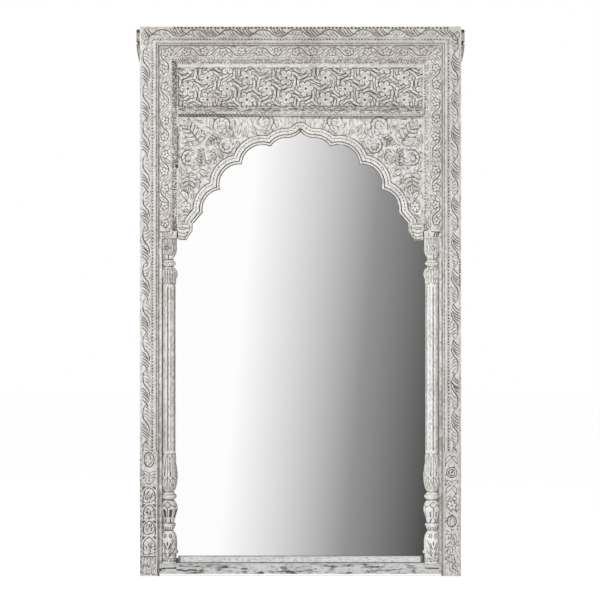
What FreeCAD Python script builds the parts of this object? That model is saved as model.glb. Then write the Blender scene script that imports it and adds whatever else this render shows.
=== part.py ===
import FreeCAD, Part
import os
import types

import Sketcher

# Arched mirror in a carved timber frame, in millimetres. X runs to the right, Y to the back, Z up.
# The floor is at Z zero; Y zero lies halfway through the depth of the outer frame.
doc = FreeCAD.newDocument("arched_mirror")

# Widths run across a moulding from its outer edge; drops run back from the foremost plane.
SIZES = {
    "frame_height": 1830,
    "frame_width": 1070,
    "frame_depth": 90,
    "wood_gap": 0.3,
    # outer stiles and head rail
    "stile_width": 65,
    "edge_width": 6,
    "edge_drop": 5,
    "vine_width": 31,
    "strip_width": 7,
    "strip_drop": 6,
    "bead_width": 11,
    "bead_drop": 0.5,
    "fillet_width": 4,
    "fillet_drop": 9,
    "step_drop": 15,
    "lip_width": 16,
    "lip_drop": 38,
    "block_height": 416,
    "block_width": 51,
    # inner jambs and head border
    "jamb_width": 62,
    "border_drop": 15,
    "border_width": 36,
    "quirk_width": 3,
    "quirk_drop": 19,
    "cove_drop": 17,
    "cove_width": 19,
    "reveal_drop": 32,
    "rebate_width": 22,
    "rebate_play": 2,
    "batten_rebate": 34,
    "jamb_drop": 75,
    "seat_drop": 38,
    "seat_reach": 15,
    # frieze and transom
    "frieze_height": 135,
    "frieze_drop": 38,
    "rim_height": 8,
    "rim_drop": 33,
    "flange_lap": 17,
    "transom_height": 37,
    "transom_drop": 18,
    "transom_cove": 19,
    "transom_round": 10,
    "rope_drop": 23,
    "tenon_length": 10,
    "tenon_height": 20,
    "tenon_width": 8,
    "tongue_height": 6,
    "tongue_width": 6,
    "tongue_drop": 40,
    # cusped arch
    "spandrel_height": 354,
    "arch_cover": 50,
    "arch_shoulder": 52,
    "spandrel_drop": 35,
    "arch_strip": 8,
    "strip_rise": 5,
    "arch_groove": 3,
    "groove_sink": 2,
    "arch_band": 10,
    "band_rise": 3,
    "arch_line": 3,
    "line_rise": 4,
    # corbels
    "corbel_height": 57,
    "corbel_width": 48,
    "corbel_foot": 27,
    "corbel_cap": 14,
    "corbel_knee": 26,
    "corbel_drop": 22,
    "corbel_step": 4,
    # columns
    "column_cover": 51,
    "column_radius": 29.5,
    "column_trim": 22.9,
    "shaft_radius": 22,
    "flute_radius": 3,
    # sill
    "sill_rise": 8,
    "sill_height": 35,
    "sill_drop": 14,
    "sill_round": 4,
    "slip_height": 24,
    "slip_bevel": 8,
    "slip_drop": 30,
    "slip_back": 44,
    # side horns
    "horn_reach": 12,
    "horn_height": 108,
    "horn_top": 9,
    "horn_block": 42,
    "horn_groove": 7,
    "horn_nick": 4,
    "horn_front": 20,
    "horn_back": 66,
    # pane, back board and battens
    "glass_drop": 50,
    "glass_thickness": 4,
    "back_thickness": 4,
    "batten_width": 33,
    "batten_thickness": 13,
    # dowels and screws
    "dowel_radius": 5,
    "dowel_length": 40,
    "pin_radius": 3,
    "pin_length": 20,
    "hole_slack": 0.1,
    "screw_radius": 2,
    "screw_length": 30,
    "screw_head": 4,
    "screw_sink": 3,
    # hangers
    "hanger_fall": 350,
    "strap_length": 70,
    "strap_width": 16,
    "strap_thickness": 2,
    "eye_stand": 4.5,
    "eye_wall": 2,
    "wire_radius": 2,
    "ring_half_width": 13,
    "ring_corner": 4,
    "ring_side": 8,
    "tack_radius": 1.75,
    "tack_length": 22,
    "tack_head": 3.5,
    "tack_sink": 1.8,
}
sheet = doc.addObject("Spreadsheet::Sheet", "Sizes")
for row, (name, value) in enumerate(SIZES.items(), start=1):
    sheet.set(f"A{row}", name)
    sheet.set(f"B{row}", str(value))
    sheet.setAlias(f"B{row}", name)
doc.recompute()


class Size:
    """A length known both as a number and as an expression on the sheet."""

    def __init__(self, value, text):
        self.value = value
        self.text = text

    def __add__(self, other):
        other = sized(other)
        return Size(self.value + other.value, f"({self.text} + {other.text})")

    def __sub__(self, other):
        other = sized(other)
        return Size(self.value - other.value, f"({self.text} - {other.text})")

    def __mul__(self, other):
        other = sized(other)
        return Size(self.value * other.value, f"({self.text} * {other.text})")

    def __truediv__(self, other):
        other = sized(other)
        return Size(self.value / other.value, f"({self.text} / {other.text})")

    def __neg__(self):
        return Size(-self.value, f"(-1 * {self.text})")


def sized(number):
    return number if isinstance(number, Size) else Size(float(number), f"({float(number):.6f})")


S = types.SimpleNamespace(**{name: Size(float(sheet.get(name)), f"Sizes.{name}") for name in SIZES})
ZERO = sized(0)
THROUGH = "through"
pieces = {}


def deep(drop):
    """Y of a surface that lies the given drop behind the foremost plane."""
    return drop - S.frame_depth / 2


def keep(label, item):
    item.Label = label
    pieces[label] = item
    return item


def pin(sketch, edge, end, mark):
    """Ties one point of a sketch to its two sizes."""
    across = sketch.addConstraint(Sketcher.Constraint("DistanceX", -1, 1, edge, end, mark[0].value))
    sketch.setExpression(f"Constraints[{across}]", mark[0].text)
    up = sketch.addConstraint(Sketcher.Constraint("DistanceY", -1, 1, edge, end, mark[1].value))
    sketch.setExpression(f"Constraints[{up}]", mark[1].text)


def draw(sketch, marks):
    """Draws a closed outline; a THROUGH mark bends the edge between its two neighbours into an arc."""
    corners = [place for place, mark in enumerate(marks) if len(mark) == 2]
    ends = []
    for first, last in zip(corners, corners[1:] + corners[:1]):
        start = FreeCAD.Vector(marks[first][0].value, marks[first][1].value)
        stop = FreeCAD.Vector(marks[last][0].value, marks[last][1].value)
        bend = marks[(first + 1) % len(marks)]
        if len(bend) == 2:
            ends.append((sketch.addGeometry(Part.LineSegment(start, stop)), 1, 2))
            continue
        middle = FreeCAD.Vector(bend[0].value, bend[1].value)
        turns_left = (middle - start).cross(stop - middle).z > 0
        if turns_left:
            ends.append((sketch.addGeometry(Part.Arc(start, middle, stop)), 1, 2))
        else:
            ends.append((sketch.addGeometry(Part.Arc(stop, middle, start)), 2, 1))
        point = sketch.addGeometry(Part.Point(middle), True)
        pin(sketch, point, 1, bend)
        sketch.addConstraint(Sketcher.Constraint("PointOnObject", point, 1, ends[-1][0]))
    for place, corner in enumerate(corners):
        before = ends[place - 1]
        after = ends[place]
        sketch.addConstraint(Sketcher.Constraint("Coincident", before[0], before[2], after[0], after[1]))
        pin(sketch, after[0], after[1], marks[corner])


def draw_circle(sketch, centre, radius):
    middle = FreeCAD.Vector(centre[0].value, centre[1].value)
    edge = sketch.addGeometry(Part.Circle(middle, FreeCAD.Vector(0, 0, 1), radius.value))
    pin(sketch, edge, 3, centre)
    ring = sketch.addConstraint(Sketcher.Constraint("Radius", edge, radius.value))
    sketch.setExpression(f"Constraints[{ring}]", radius.text)


def new_body(name):
    return doc.addObject("PartDesign::Body", name)


def sketch_on(body, role, lift, *outlines):
    """A sketch on one of the body's own planes, lifted along its normal."""
    sketch = body.newObject("Sketcher::SketchObject", f"{body.Name}_outline")
    support = next(item for item in body.Origin.OriginFeatures if item.Role == role)
    sketch.AttachmentSupport = (support, "")
    sketch.MapMode = "FlatFace"
    sketch.setExpression("AttachmentOffset.Base.z", lift.text)
    for outline in outlines:
        draw(sketch, outline)
    return sketch


def pad(body, sketch, length, both_ways=False):
    feature = body.newObject("PartDesign::Pad", f"{body.Name}_pad")
    feature.Profile = sketch
    feature.setExpression("Length", length.text)
    feature.SideType = "Symmetric" if both_ways else "One side"
    return feature


def pocket(body, sketch, length=None, both_ways=False, backwards=False):
    """Cuts a sketch out of a body; without a length the cut goes all the way through."""
    feature = body.newObject("PartDesign::Pocket", f"{body.Name}_pocket")
    feature.Profile = sketch
    feature.SideType = "Symmetric" if both_ways else "One side"
    feature.Reversed = backwards
    if length is None:
        feature.Type = "ThroughAll"
    else:
        feature.setExpression("Length", length.text)
    return feature


def board(body, back_drop, front_drop, *outlines):
    """Pads outlines drawn in X and Z from one drop forward to another."""
    return pad(body, sketch_on(body, "XZ_Plane", -deep(back_drop), *outlines), back_drop - front_drop)


def rectangle(left, low, right, high):
    return [(left, low), (right, low), (right, high), (left, high)]


def mirrored(label, source):
    twin = doc.addObject("Part::Mirroring", label)
    twin.Source = source
    twin.Normal = FreeCAD.Vector(1, 0, 0)
    return keep(label, twin)


def bored(label, blank, holes):
    """The blank with the holes of its dowels or screws taken out."""
    result = doc.addObject("Part::Cut", label)
    result.Base = blank
    result.Tool = holes
    return keep(label, result)


def group(label, solids):
    item = doc.addObject("Part::Feature", label)
    item.Shape = Part.makeCompound(solids)
    return item


def rod(centre, along, radius, length):
    """A round rod with its middle at a point."""
    along = FreeCAD.Vector(along).normalize()
    return Part.makeCylinder(radius, length, FreeCAD.Vector(centre) - along * (length / 2), along)


def rods(label, places, radius, length):
    """A group of dowels, and the group of slightly wider and longer holes that take them."""
    slack = S.hole_slack.value
    dowels = [rod(centre, along, radius.value, length.value) for centre, along in places]
    bore, reach = radius.value + slack, length.value + radius.value
    holes = [rod(centre, along, bore, reach) for centre, along in places]
    keep(label, group(label, dowels))
    return group(f"{label}_holes", holes)


def screw(head_centre, along, radius, length, head, sink, slack):
    """A countersunk screw; the head's flat lies at head_centre and the shank runs along."""
    along = FreeCAD.Vector(along).normalize()
    centre = FreeCAD.Vector(head_centre)
    shank = Part.makeCylinder(radius + slack, length + slack, centre, along)
    cone = Part.makeCone(head + slack, radius + slack, sink, centre, along)
    return shank.fuse(cone).removeSplitter().Solids[0]


def screws(label, places, radius, length, head, sink):
    """A group of screws, and the group of holes that take them."""
    sizes = [item.value for item in (radius, length, head, sink)]
    keep(label, group(label, [screw(centre, along, *sizes, 0) for centre, along in places]))
    slack = S.hole_slack.value
    return group(f"{label}_holes", [screw(centre, along, *sizes, slack) for centre, along in places])


# Levels and lines that several pieces share.
half_width = S.frame_width / 2
jamb_line = -half_width + S.stile_width
opening_line = jamb_line + S.jamb_width
head_level = S.frame_height - S.stile_width
frieze_top = head_level - S.jamb_width
frieze_foot = frieze_top - S.frieze_height
transom_foot = frieze_foot - S.transom_height
spring_level = transom_foot - S.spandrel_height
apex_level = transom_foot - S.arch_cover
sill_top = S.sill_rise + S.sill_height
column_top = spring_level - S.column_cover
column_height = column_top - sill_top
arch_half_span = -opening_line - S.arch_shoulder
hanger_height = S.frame_height - S.hanger_fall
pane_back = S.glass_drop + S.glass_thickness
board_back = pane_back + S.back_thickness
batten_back = board_back + S.batten_thickness
arch_back = S.glass_drop - S.wood_gap
batten_line = opening_line - S.batten_rebate
jamb_middle = jamb_line + S.jamb_width / 2
seat_line = jamb_middle - S.column_trim - S.wood_gap
seat_edge = jamb_middle + S.seat_reach

# Holes of the hidden dowels: square to the mitres, along X at the sill and the arch, along Y at the columns.
mitre_middle = (S.stile_width - S.lip_width) / 2
outer_mitre = (-half_width + mitre_middle, S.frame_height - mitre_middle)
inner_mitre = (jamb_line + mitre_middle / 4, head_level - mitre_middle / 4)
dowel_depth = deep(board_back).value
mitre_places = []
for side in (1, -1):
    for corner in (outer_mitre, inner_mitre):
        centre = (side * corner[0].value, dowel_depth, corner[1].value)
        mitre_places.append((centre, (side, 0, 1)))
mitre_holes = rods("mitre_dowels", mitre_places, S.dowel_radius, S.dowel_length)
sill_middle = S.sill_rise + S.sill_height / 2
sill_places = []
for side in (1, -1):
    centre = (side * (jamb_line - S.lip_width).value, dowel_depth, sill_middle.value)
    sill_places.append((centre, (1, 0, 0)))
sill_holes = rods("sill_dowels", sill_places, S.dowel_radius, S.dowel_length)
column_dowel_shares = (0.085, 0.5, 0.885)
column_places = []
for side in (1, -1):
    for share in column_dowel_shares:
        level = (sill_top + column_height * share).value
        column_places.append(((side * jamb_middle.value, deep(S.seat_drop).value, level), (0, 1, 0)))
column_holes = rods("column_dowels", column_places, S.pin_radius, S.pin_length)
arch_dowel_shares = (0.2, 0.5, 0.8)
arch_levels = [spring_level + S.spandrel_height * share for share in arch_dowel_shares]
arch_levels.append(spring_level - S.corbel_height / 2)
arch_depth = deep((S.spandrel_drop + arch_back) / 2).value
arch_places = []
for side in (1, -1):
    for level in arch_levels:
        arch_places.append(((side * opening_line.value, arch_depth, level.value), (1, 0, 0)))
arch_holes = rods("arch_dowels", arch_places, S.pin_radius, S.pin_length)

# Countersunk screws: through the battens into jambs, head border and transom, and down into the sill.
side_screw_shares = (0.04, 0.27, 0.5, 0.73, 0.96)
cross_screw_shares = (-0.84, -0.28, 0.28, 0.84)
screw_line = batten_line + (S.batten_rebate - S.rebate_width) / 2
screw_face = deep(batten_back).value
batten_top_level = frieze_top + S.batten_rebate
screw_places = []
for side in (1, -1):
    for share in side_screw_shares:
        level = (sill_top + (batten_top_level - sill_top) * share).value
        screw_places.append(((side * screw_line.value, screw_face, level), (0, -1, 0)))
for share in cross_screw_shares:
    across = -(opening_line * share).value
    upper = (frieze_top + (opening_line - screw_line)).value
    lower = (frieze_foot - S.flange_lap / 2).value
    screw_places.append(((across, screw_face, upper), (0, -1, 0)))
    screw_places.append(((across, screw_face, lower), (0, -1, 0)))
    middle_depth = deep((board_back + batten_back) / 2).value
    standing = (across, middle_depth, (sill_top + S.batten_width / 2).value)
    screw_places.append((standing, (0, 0, -1)))
screw_sizes = (S.screw_radius, S.screw_length, S.screw_head, S.screw_sink)
screw_holes = screws("batten_screws", screw_places, *screw_sizes)

# Screws of the two hanger straps, along the middle of each strap.
hanger_line = jamb_line + (S.jamb_width - S.batten_rebate - S.lip_width) / 2
tack_shares = (0.35, 0.62, 0.88)
tack_face = deep(S.jamb_drop + S.strap_thickness).value
tack_places = []
for side in (1, -1):
    for share in tack_shares:
        level = (hanger_height - S.strap_length * share).value
        tack_places.append(((side * hanger_line.value, tack_face, level), (0, -1, 0)))
tack_holes = screws("hanger_screws", tack_places, S.tack_radius, S.tack_length, S.tack_head, S.tack_sink)

# Section of the outer frame: edge fillet, vine band, dotted strip, half-round bead, fillet and cove,
# with a rebate behind the inner lip.
strip_start = S.edge_width + S.vine_width
bead_start = strip_start + S.strip_width
fillet_start = bead_start + S.bead_width
cove_start = fillet_start + S.fillet_width
lip_start = S.stile_width - S.lip_width
step_through_share = 0.3
outer_section = [
    (ZERO, S.frame_depth),
    (ZERO, S.edge_drop),
    (S.edge_width, S.edge_drop),
    (S.edge_width, ZERO),
    (strip_start, ZERO),
    (strip_start, S.strip_drop),
    (bead_start, S.strip_drop),
    (bead_start + S.bead_width / 2, S.bead_drop, THROUGH),
    (fillet_start, S.strip_drop),
    (fillet_start, S.fillet_drop),
    (cove_start, S.fillet_drop),
    (
        cove_start + (S.stile_width - cove_start) * step_through_share,
        S.step_drop - (S.step_drop - S.fillet_drop) * step_through_share,
        THROUGH,
    ),
    (S.stile_width, S.step_drop),
    (S.stile_width, S.lip_drop),
    (lip_start, S.lip_drop),
    (lip_start, S.frame_depth),
]


def upright(section, line):
    """A section drawn across X, its outer edge at the given line."""
    return [(line + mark[0], deep(mark[1]), *mark[2:]) for mark in section]


def lying(section, level):
    """A section drawn down Z, its outer edge at the given level."""
    return [(deep(mark[1]), level - mark[0], *mark[2:]) for mark in section]


# Left outer stile, with the plain block of its lower end and the mitre of its upper end.
stile = new_body("stile")
pad(stile, sketch_on(stile, "XY_Plane", ZERO, upright(outer_section, -half_width)), S.frame_height)
block_outline = rectangle(S.edge_width, ZERO, S.edge_width + S.block_width, S.step_drop)
pad(stile, sketch_on(stile, "XY_Plane", ZERO, upright(block_outline, -half_width)), S.block_height)
stile_mitre = [
    (-half_width, S.frame_height),
    (jamb_line, S.frame_height),
    (jamb_line, head_level),
]
pocket(stile, sketch_on(stile, "XZ_Plane", ZERO, stile_mitre), both_ways=True)
stile_bores = doc.addObject("Part::Compound", "stile_bores")
stile_bores.Links = [mitre_holes, sill_holes]
stile_left = bored("outer_stile_left", stile, stile_bores)
mirrored("outer_stile_right", stile_left)

# Head rail with the same section, mitred at both ends.
head = new_body("head")
pad(head, sketch_on(head, "YZ_Plane", ZERO, lying(outer_section, S.frame_height)), S.frame_width, True)
head_mitres = [
    [(line, S.frame_height), (line, head_level), (inner, head_level)]
    for line, inner in ((-half_width, jamb_line), (half_width, -jamb_line))
]
pocket(head, sketch_on(head, "XZ_Plane", ZERO, *head_mitres), both_ways=True)
bored("outer_head_rail", head, mitre_holes)

# Section of the inner border: flange under the outer lip, vine band, quirk, cove, flat edge,
# and a stepped rebate for pane and battens.
cove_line = S.border_width + S.quirk_width
flat_line = cove_line + S.cove_width
cove_through_share = 0.29
inner_section = [
    (S.wood_gap - S.lip_width, S.jamb_drop),
    (S.wood_gap - S.lip_width, S.lip_drop),
    (ZERO, S.lip_drop),
    (ZERO, S.border_drop),
    (S.border_width, S.border_drop),
    (S.border_width, S.quirk_drop),
    (cove_line, S.quirk_drop),
    (cove_line, S.cove_drop),
    (
        cove_line + S.cove_width * cove_through_share,
        S.reveal_drop - (S.reveal_drop - S.cove_drop) * cove_through_share,
        THROUGH,
    ),
    (flat_line, S.reveal_drop),
    (S.jamb_width, S.reveal_drop),
    (S.jamb_width, S.glass_drop),
    (S.jamb_width - S.rebate_width, S.glass_drop),
    (S.jamb_width - S.rebate_width, board_back),
    (S.jamb_width - S.batten_rebate, board_back),
    (S.jamb_width - S.batten_rebate, S.jamb_drop),
]
flange_line = jamb_line - S.lip_width + S.wood_gap
flange_level = head_level + S.lip_width - S.wood_gap

# Left jamb: stands on the sill and takes the transom's tenon. Beside the column it is cut back to a
# flat seat, which is narrow enough to stay hidden behind the turned necks.
jamb = new_body("jamb")
jamb_sketch = sketch_on(jamb, "XY_Plane", sill_top, upright(inner_section, jamb_line))
pad(jamb, jamb_sketch, flange_level - sill_top)
jamb_mitre = [
    (flange_line, flange_level),
    (opening_line, flange_level),
    (opening_line, frieze_top),
]
pocket(jamb, sketch_on(jamb, "XZ_Plane", ZERO, jamb_mitre), both_ways=True)
seat_outline = rectangle(seat_line, sill_top, opening_line, column_top)
pocket(jamb, sketch_on(jamb, "XZ_Plane", -deep(S.seat_drop), seat_outline), backwards=True)
beside_seat = rectangle(seat_edge, sill_top, opening_line, column_top)
pocket(jamb, sketch_on(jamb, "XZ_Plane", ZERO, beside_seat), both_ways=True)
tenon_low = transom_foot + (S.transom_height - S.tenon_height) / 2
tenon_front = (S.reveal_drop + S.glass_drop - S.tenon_width) / 2
mortise = rectangle(
    deep(tenon_front), tenon_low, deep(tenon_front + S.tenon_width), tenon_low + S.tenon_height
)
pocket(jamb, sketch_on(jamb, "YZ_Plane", opening_line, mortise), S.tenon_length + S.wood_gap)
jamb_bores = doc.addObject("Part::Compound", "jamb_bores")
jamb_bores.Links = [mitre_holes, column_holes, arch_holes, screw_holes, tack_holes]
jamb_left = bored("inner_jamb_left", jamb, jamb_bores)
mirrored("inner_jamb_right", jamb_left)

# Inner border across the top, mitred to the jambs.
border = new_body("border")
border_sketch = sketch_on(border, "YZ_Plane", ZERO, lying(inner_section, head_level))
pad(border, border_sketch, -flange_line * 2, True)
border_mitres = [
    [(outer, flange_level), (outer, frieze_top), (inner, frieze_top)]
    for outer, inner in ((flange_line, opening_line), (-flange_line, -opening_line))
]
pocket(border, sketch_on(border, "XZ_Plane", ZERO, *border_mitres), both_ways=True)
border_bores = doc.addObject("Part::Compound", "border_bores")
border_bores.Links = [mitre_holes, screw_holes]
bored("inner_head_border", border, border_bores)

# Frieze: a board with a thin flange in the rebate and a plain rim along its top.
frieze_edge = opening_line + S.wood_gap
flange_edge = opening_line - S.rebate_width + S.rebate_play
frieze = new_body("frieze")
flange_outline = rectangle(
    flange_edge, frieze_foot - S.flange_lap, -flange_edge, frieze_top + S.rebate_width - S.rebate_play
)
board(frieze, board_back, S.glass_drop, flange_outline)
frieze_outline = rectangle(frieze_edge, frieze_foot, -frieze_edge, frieze_top)
board(frieze, board_back, S.frieze_drop, frieze_outline)
rim_outline = rectangle(frieze_edge, frieze_top - S.rim_height, -frieze_edge, frieze_top)
board(frieze, board_back, S.rim_drop, rim_outline)
bored("frieze_panel", frieze, screw_holes)

# Transom: cove, round moulding and rope bead, grooved below for the spandrels, with stub tenons.
cove_foot = frieze_foot - S.transom_cove
round_foot = cove_foot - S.transom_round
rope_height = round_foot - transom_foot
transom_cove_drop = S.frieze_drop - S.wood_gap
round_swell_share = 0.22
rope_swell_share = 0.45
transom_section = [
    (deep(S.glass_drop), transom_foot),
    (deep(S.glass_drop), frieze_foot),
    (deep(transom_cove_drop), frieze_foot),
    (
        deep(S.transom_drop + (transom_cove_drop - S.transom_drop) * (1 - cove_through_share)),
        frieze_foot - S.transom_cove * (1 - cove_through_share),
        THROUGH,
    ),
    (deep(S.transom_drop), cove_foot),
    (deep(S.transom_drop - S.transom_round * round_swell_share), (cove_foot + round_foot) / 2, THROUGH),
    (deep(S.transom_drop), round_foot),
    (deep(S.rope_drop), round_foot),
    (deep(S.rope_drop - rope_height * rope_swell_share), transom_foot + rope_height / 2, THROUGH),
    (deep(S.rope_drop), transom_foot),
    (deep(S.tongue_drop), transom_foot),
    (deep(S.tongue_drop), transom_foot + S.tongue_height + S.wood_gap),
    (deep(S.tongue_drop + S.tongue_width), transom_foot + S.tongue_height + S.wood_gap),
    (deep(S.tongue_drop + S.tongue_width), transom_foot),
]
transom = new_body("transom")
pad(transom, sketch_on(transom, "YZ_Plane", ZERO, transom_section), -opening_line * 2, True)
tenon_length = -opening_line * 2 + S.tenon_length * 2
pad(transom, sketch_on(transom, "YZ_Plane", ZERO, mortise), tenon_length, True)
bored("transom_rail", transom, screw_holes)

# Outline of the arch opening: cusps as shares of half span and rise, each foil bent by a share of its chord.
cusp_shares = (
    (1.0, 0.0),
    (0.916, 0.117),
    (0.754, 0.365),
    (0.551, 0.643),
    (0.28, 0.839),
    (0.118, 0.934),
    (0.0, 1.0),
)
foil_shares = (0.0, 0.22, 0.265, 0.26, 0.145, -0.09)
foot_share = 0.3
arch_rise = apex_level - spring_level
left_side = [(-arch_half_span * across, spring_level + arch_rise * up) for across, up in cusp_shares]
arch_marks = [(-arch_half_span, spring_level - arch_rise * foot_share)]
for place, bend in enumerate(foil_shares):
    start = left_side[place]
    stop = left_side[place + 1]
    arch_marks.append(start)
    if bend:
        across = (start[0] + stop[0]) / 2 - (stop[1] - start[1]) * bend
        up = (start[1] + stop[1]) / 2 + (stop[0] - start[0]) * bend
        arch_marks.append((across, up, THROUGH))
right_side = [(-mark[0], *mark[1:]) for mark in reversed(arch_marks)]
arch_marks = arch_marks + [left_side[-1]] + right_side

# Rings of moulding follow every cusp at set distances from the opening.
arch_sketch = doc.addObject("Sketcher::SketchObject", "arch_outline")
arch_sketch.Placement = FreeCAD.Placement(FreeCAD.Vector(), FreeCAD.Rotation(FreeCAD.Vector(1, 0, 0), 90))
arch_sketch.setExpression("Placement.Base.y", deep(arch_back).text)
draw(arch_sketch, arch_marks)


def arch_prism(label, outward, front_drop):
    """The arch opening, widened by a distance, run forward from the back of the boards."""
    outline = arch_sketch
    if outward is not None:
        outline = doc.addObject("Part::Offset2D", f"{label}_offset")
        outline.Source = arch_sketch
        outline.Join = "Arc"
        outline.setExpression("Value", outward.text)
    prism = doc.addObject("Part::Extrusion", label)
    prism.Base = outline
    prism.DirMode = "Custom"
    prism.Dir = FreeCAD.Vector(0, -1, 0)
    prism.Solid = True
    prism.setExpression("LengthFwd", (arch_back - front_drop).text)
    return prism


def cut(label, base, tool):
    result = doc.addObject("Part::Cut", label)
    result.Base = base
    result.Tool = tool
    return result


groove_start = S.arch_strip
band_start = groove_start + S.arch_groove
band_stop = band_start + S.arch_band
line_start = band_stop + S.arch_groove
line_stop = line_start + S.arch_line
strip_drop = S.spandrel_drop - S.strip_rise
band_drop = S.spandrel_drop - S.band_rise
line_drop = S.spandrel_drop - S.line_rise
groove_drop = S.spandrel_drop + S.groove_sink
opening_prism = arch_prism("opening_prism", None, ZERO)
strip_ring = cut("strip_ring", arch_prism("strip_prism", groove_start, strip_drop), opening_prism)
sunk_ring = arch_prism("sunk_prism", line_start, groove_drop)
band_inner = arch_prism("band_inner", band_start, ZERO)
band_ring = cut("band_ring", arch_prism("band_prism", band_stop, band_drop), band_inner)
line_inner = arch_prism("line_inner", line_start, ZERO)
line_ring = cut("line_ring", arch_prism("line_prism", line_stop, line_drop), line_inner)

# Left spandrel: the carved field, then the rings, all trimmed to the half of the arch it covers.
spandrel_edge = opening_line + S.wood_gap
field = new_body("field")
board(field, arch_back, S.spandrel_drop, rectangle(spandrel_edge, spring_level, ZERO, transom_foot))
field_part = cut("field_part", field, line_inner)
rings = doc.addObject("Part::MultiFuse", "arch_rings")
rings.Shapes = [strip_ring, cut("sunk_part", sunk_ring, opening_prism), band_ring, line_ring]
half = new_body("half")
board(half, arch_back, ZERO, rectangle(spandrel_edge, spring_level, ZERO, transom_foot))
ring_part = doc.addObject("Part::Common", "ring_part")
ring_part.Base = rings
ring_part.Tool = half
tongue = new_body("tongue")
tongue_back = S.tongue_drop + S.tongue_width - S.wood_gap
tongue_low, tongue_high = transom_foot - S.tongue_height, transom_foot + S.tongue_height
tongue_outline = rectangle(spandrel_edge, tongue_low, ZERO, tongue_high)
board(tongue, tongue_back, S.tongue_drop + S.wood_gap, tongue_outline)
spandrel = doc.addObject("Part::MultiFuse", "spandrel")
spandrel.Shapes = [field_part, ring_part, tongue]
spandrel.Refine = True
spandrel_left = bored("spandrel_left", spandrel, arch_holes)
mirrored("spandrel_right", spandrel_left)

# Left corbel: a block that tapers below its knee, with a prouder cap under the end of the arch.
corbel = new_body("corbel")
corbel_foot_level = spring_level - S.corbel_height
corbel_outline = [
    (spandrel_edge, corbel_foot_level),
    (opening_line + S.corbel_foot, corbel_foot_level),
    (opening_line + S.corbel_width, spring_level - S.corbel_knee),
    (opening_line + S.corbel_width, spring_level),
    (spandrel_edge, spring_level),
]
board(corbel, arch_back, S.corbel_drop + S.corbel_step, corbel_outline)
cap_outline = rectangle(
    spandrel_edge, spring_level - S.corbel_cap, opening_line + S.corbel_width, spring_level
)
board(corbel, arch_back, S.corbel_drop, cap_outline)
corbel_left = bored("corbel_left", corbel, arch_holes)
mirrored("corbel_right", corbel_left)

# Left half column: turned outline as shares of radius and height, fluted along the shaft; its outer side is
# planed flat where it lies against the fillet of the jamb.
turned_shares = (
    (0.0, 0.0),
    (0.847, 0.0),
    (0.847, 0.029),
    (1.068, 0.031),
    (1.068, 0.037),
    (0.898, 0.041),
    (0.925, 0.062, THROUGH),
    (0.854, 0.083),
    (0.702, 0.0924),
    (0.488, 0.1005),
    (0.488, 0.1025),
    (0.576, 0.1046),
    (0.661, 0.109),
    (0.692, 0.114),
    (0.78, 0.1165),
    (0.78, 0.1212),
    (0.59, 0.1244),
    (0.661, 0.134),
    (0.831, 0.15),
    (0.99, 0.1695, THROUGH),
    (0.617, 0.1925),
    (0.61, 0.1945),
    (0.78, 0.1996),
    (0.861, 0.203),
    (0.861, 0.208),
    (0.678, 0.2135),
    (0.61, 0.2165),
    (0.61, 0.222),
    (0.759, 0.2285),
    (0.827, 0.2345),
    (0.969, 0.258, THROUGH),
    (0.892, 0.295),
    (0.803, 0.307),
    (0.803, 0.333),
    (0.746, 0.339),
    (0.746, 0.858),
    (0.803, 0.861),
    (0.803, 0.874),
    (0.99, 0.891, THROUGH),
    (0.746, 0.9065),
    (0.556, 0.911),
    (0.556, 0.914),
    (0.834, 0.9219),
    (0.576, 0.931),
    (0.481, 0.9335),
    (0.481, 0.936),
    (0.59, 0.942),
    (0.814, 0.954, THROUGH),
    (0.908, 0.965),
    (0.895, 0.98),
    (0.895, 1.0),
    (0.0, 1.0),
)
trim_share = 1.2
flute_shares = ((-0.94, -0.34), (-0.5, -0.87), (0.0, -1.0), (0.5, -0.87), (0.94, -0.34))
shaft_low_share = 0.345
shaft_high_share = 0.852
column = new_body("column")
turned = [(S.column_radius * mark[0], column_height * mark[1], *mark[2:]) for mark in turned_shares]
column_sketch = sketch_on(column, "XZ_Plane", ZERO, turned)
turning = column.newObject("PartDesign::Revolution", "column_turning")
turning.Profile = column_sketch
turning.ReferenceAxis = (column_sketch, ["V_Axis"])
turning.Angle = 180
turning.Reversed = True
shaft_low = column_height * shaft_low_share
flute_sketch = sketch_on(column, "XY_Plane", shaft_low)
for across, front in flute_shares:
    draw_circle(flute_sketch, (S.shaft_radius * across, S.shaft_radius * front), S.flute_radius)
pocket(column, flute_sketch, column_height * shaft_high_share - shaft_low, backwards=True)
trim_reach = S.column_radius * trim_share
trim_outline = rectangle(-trim_reach, -trim_reach, -S.column_trim, S.wood_gap)
pocket(column, sketch_on(column, "XY_Plane", ZERO, trim_outline), column_height, backwards=True)
column.setExpression("Placement.Base.x", jamb_middle.text)
column.setExpression("Placement.Base.y", deep(S.seat_drop).text)
column.setExpression("Placement.Base.z", sill_top.text)
column_left = bored("column_left", column, column_holes)
mirrored("column_right", column_left)

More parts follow.
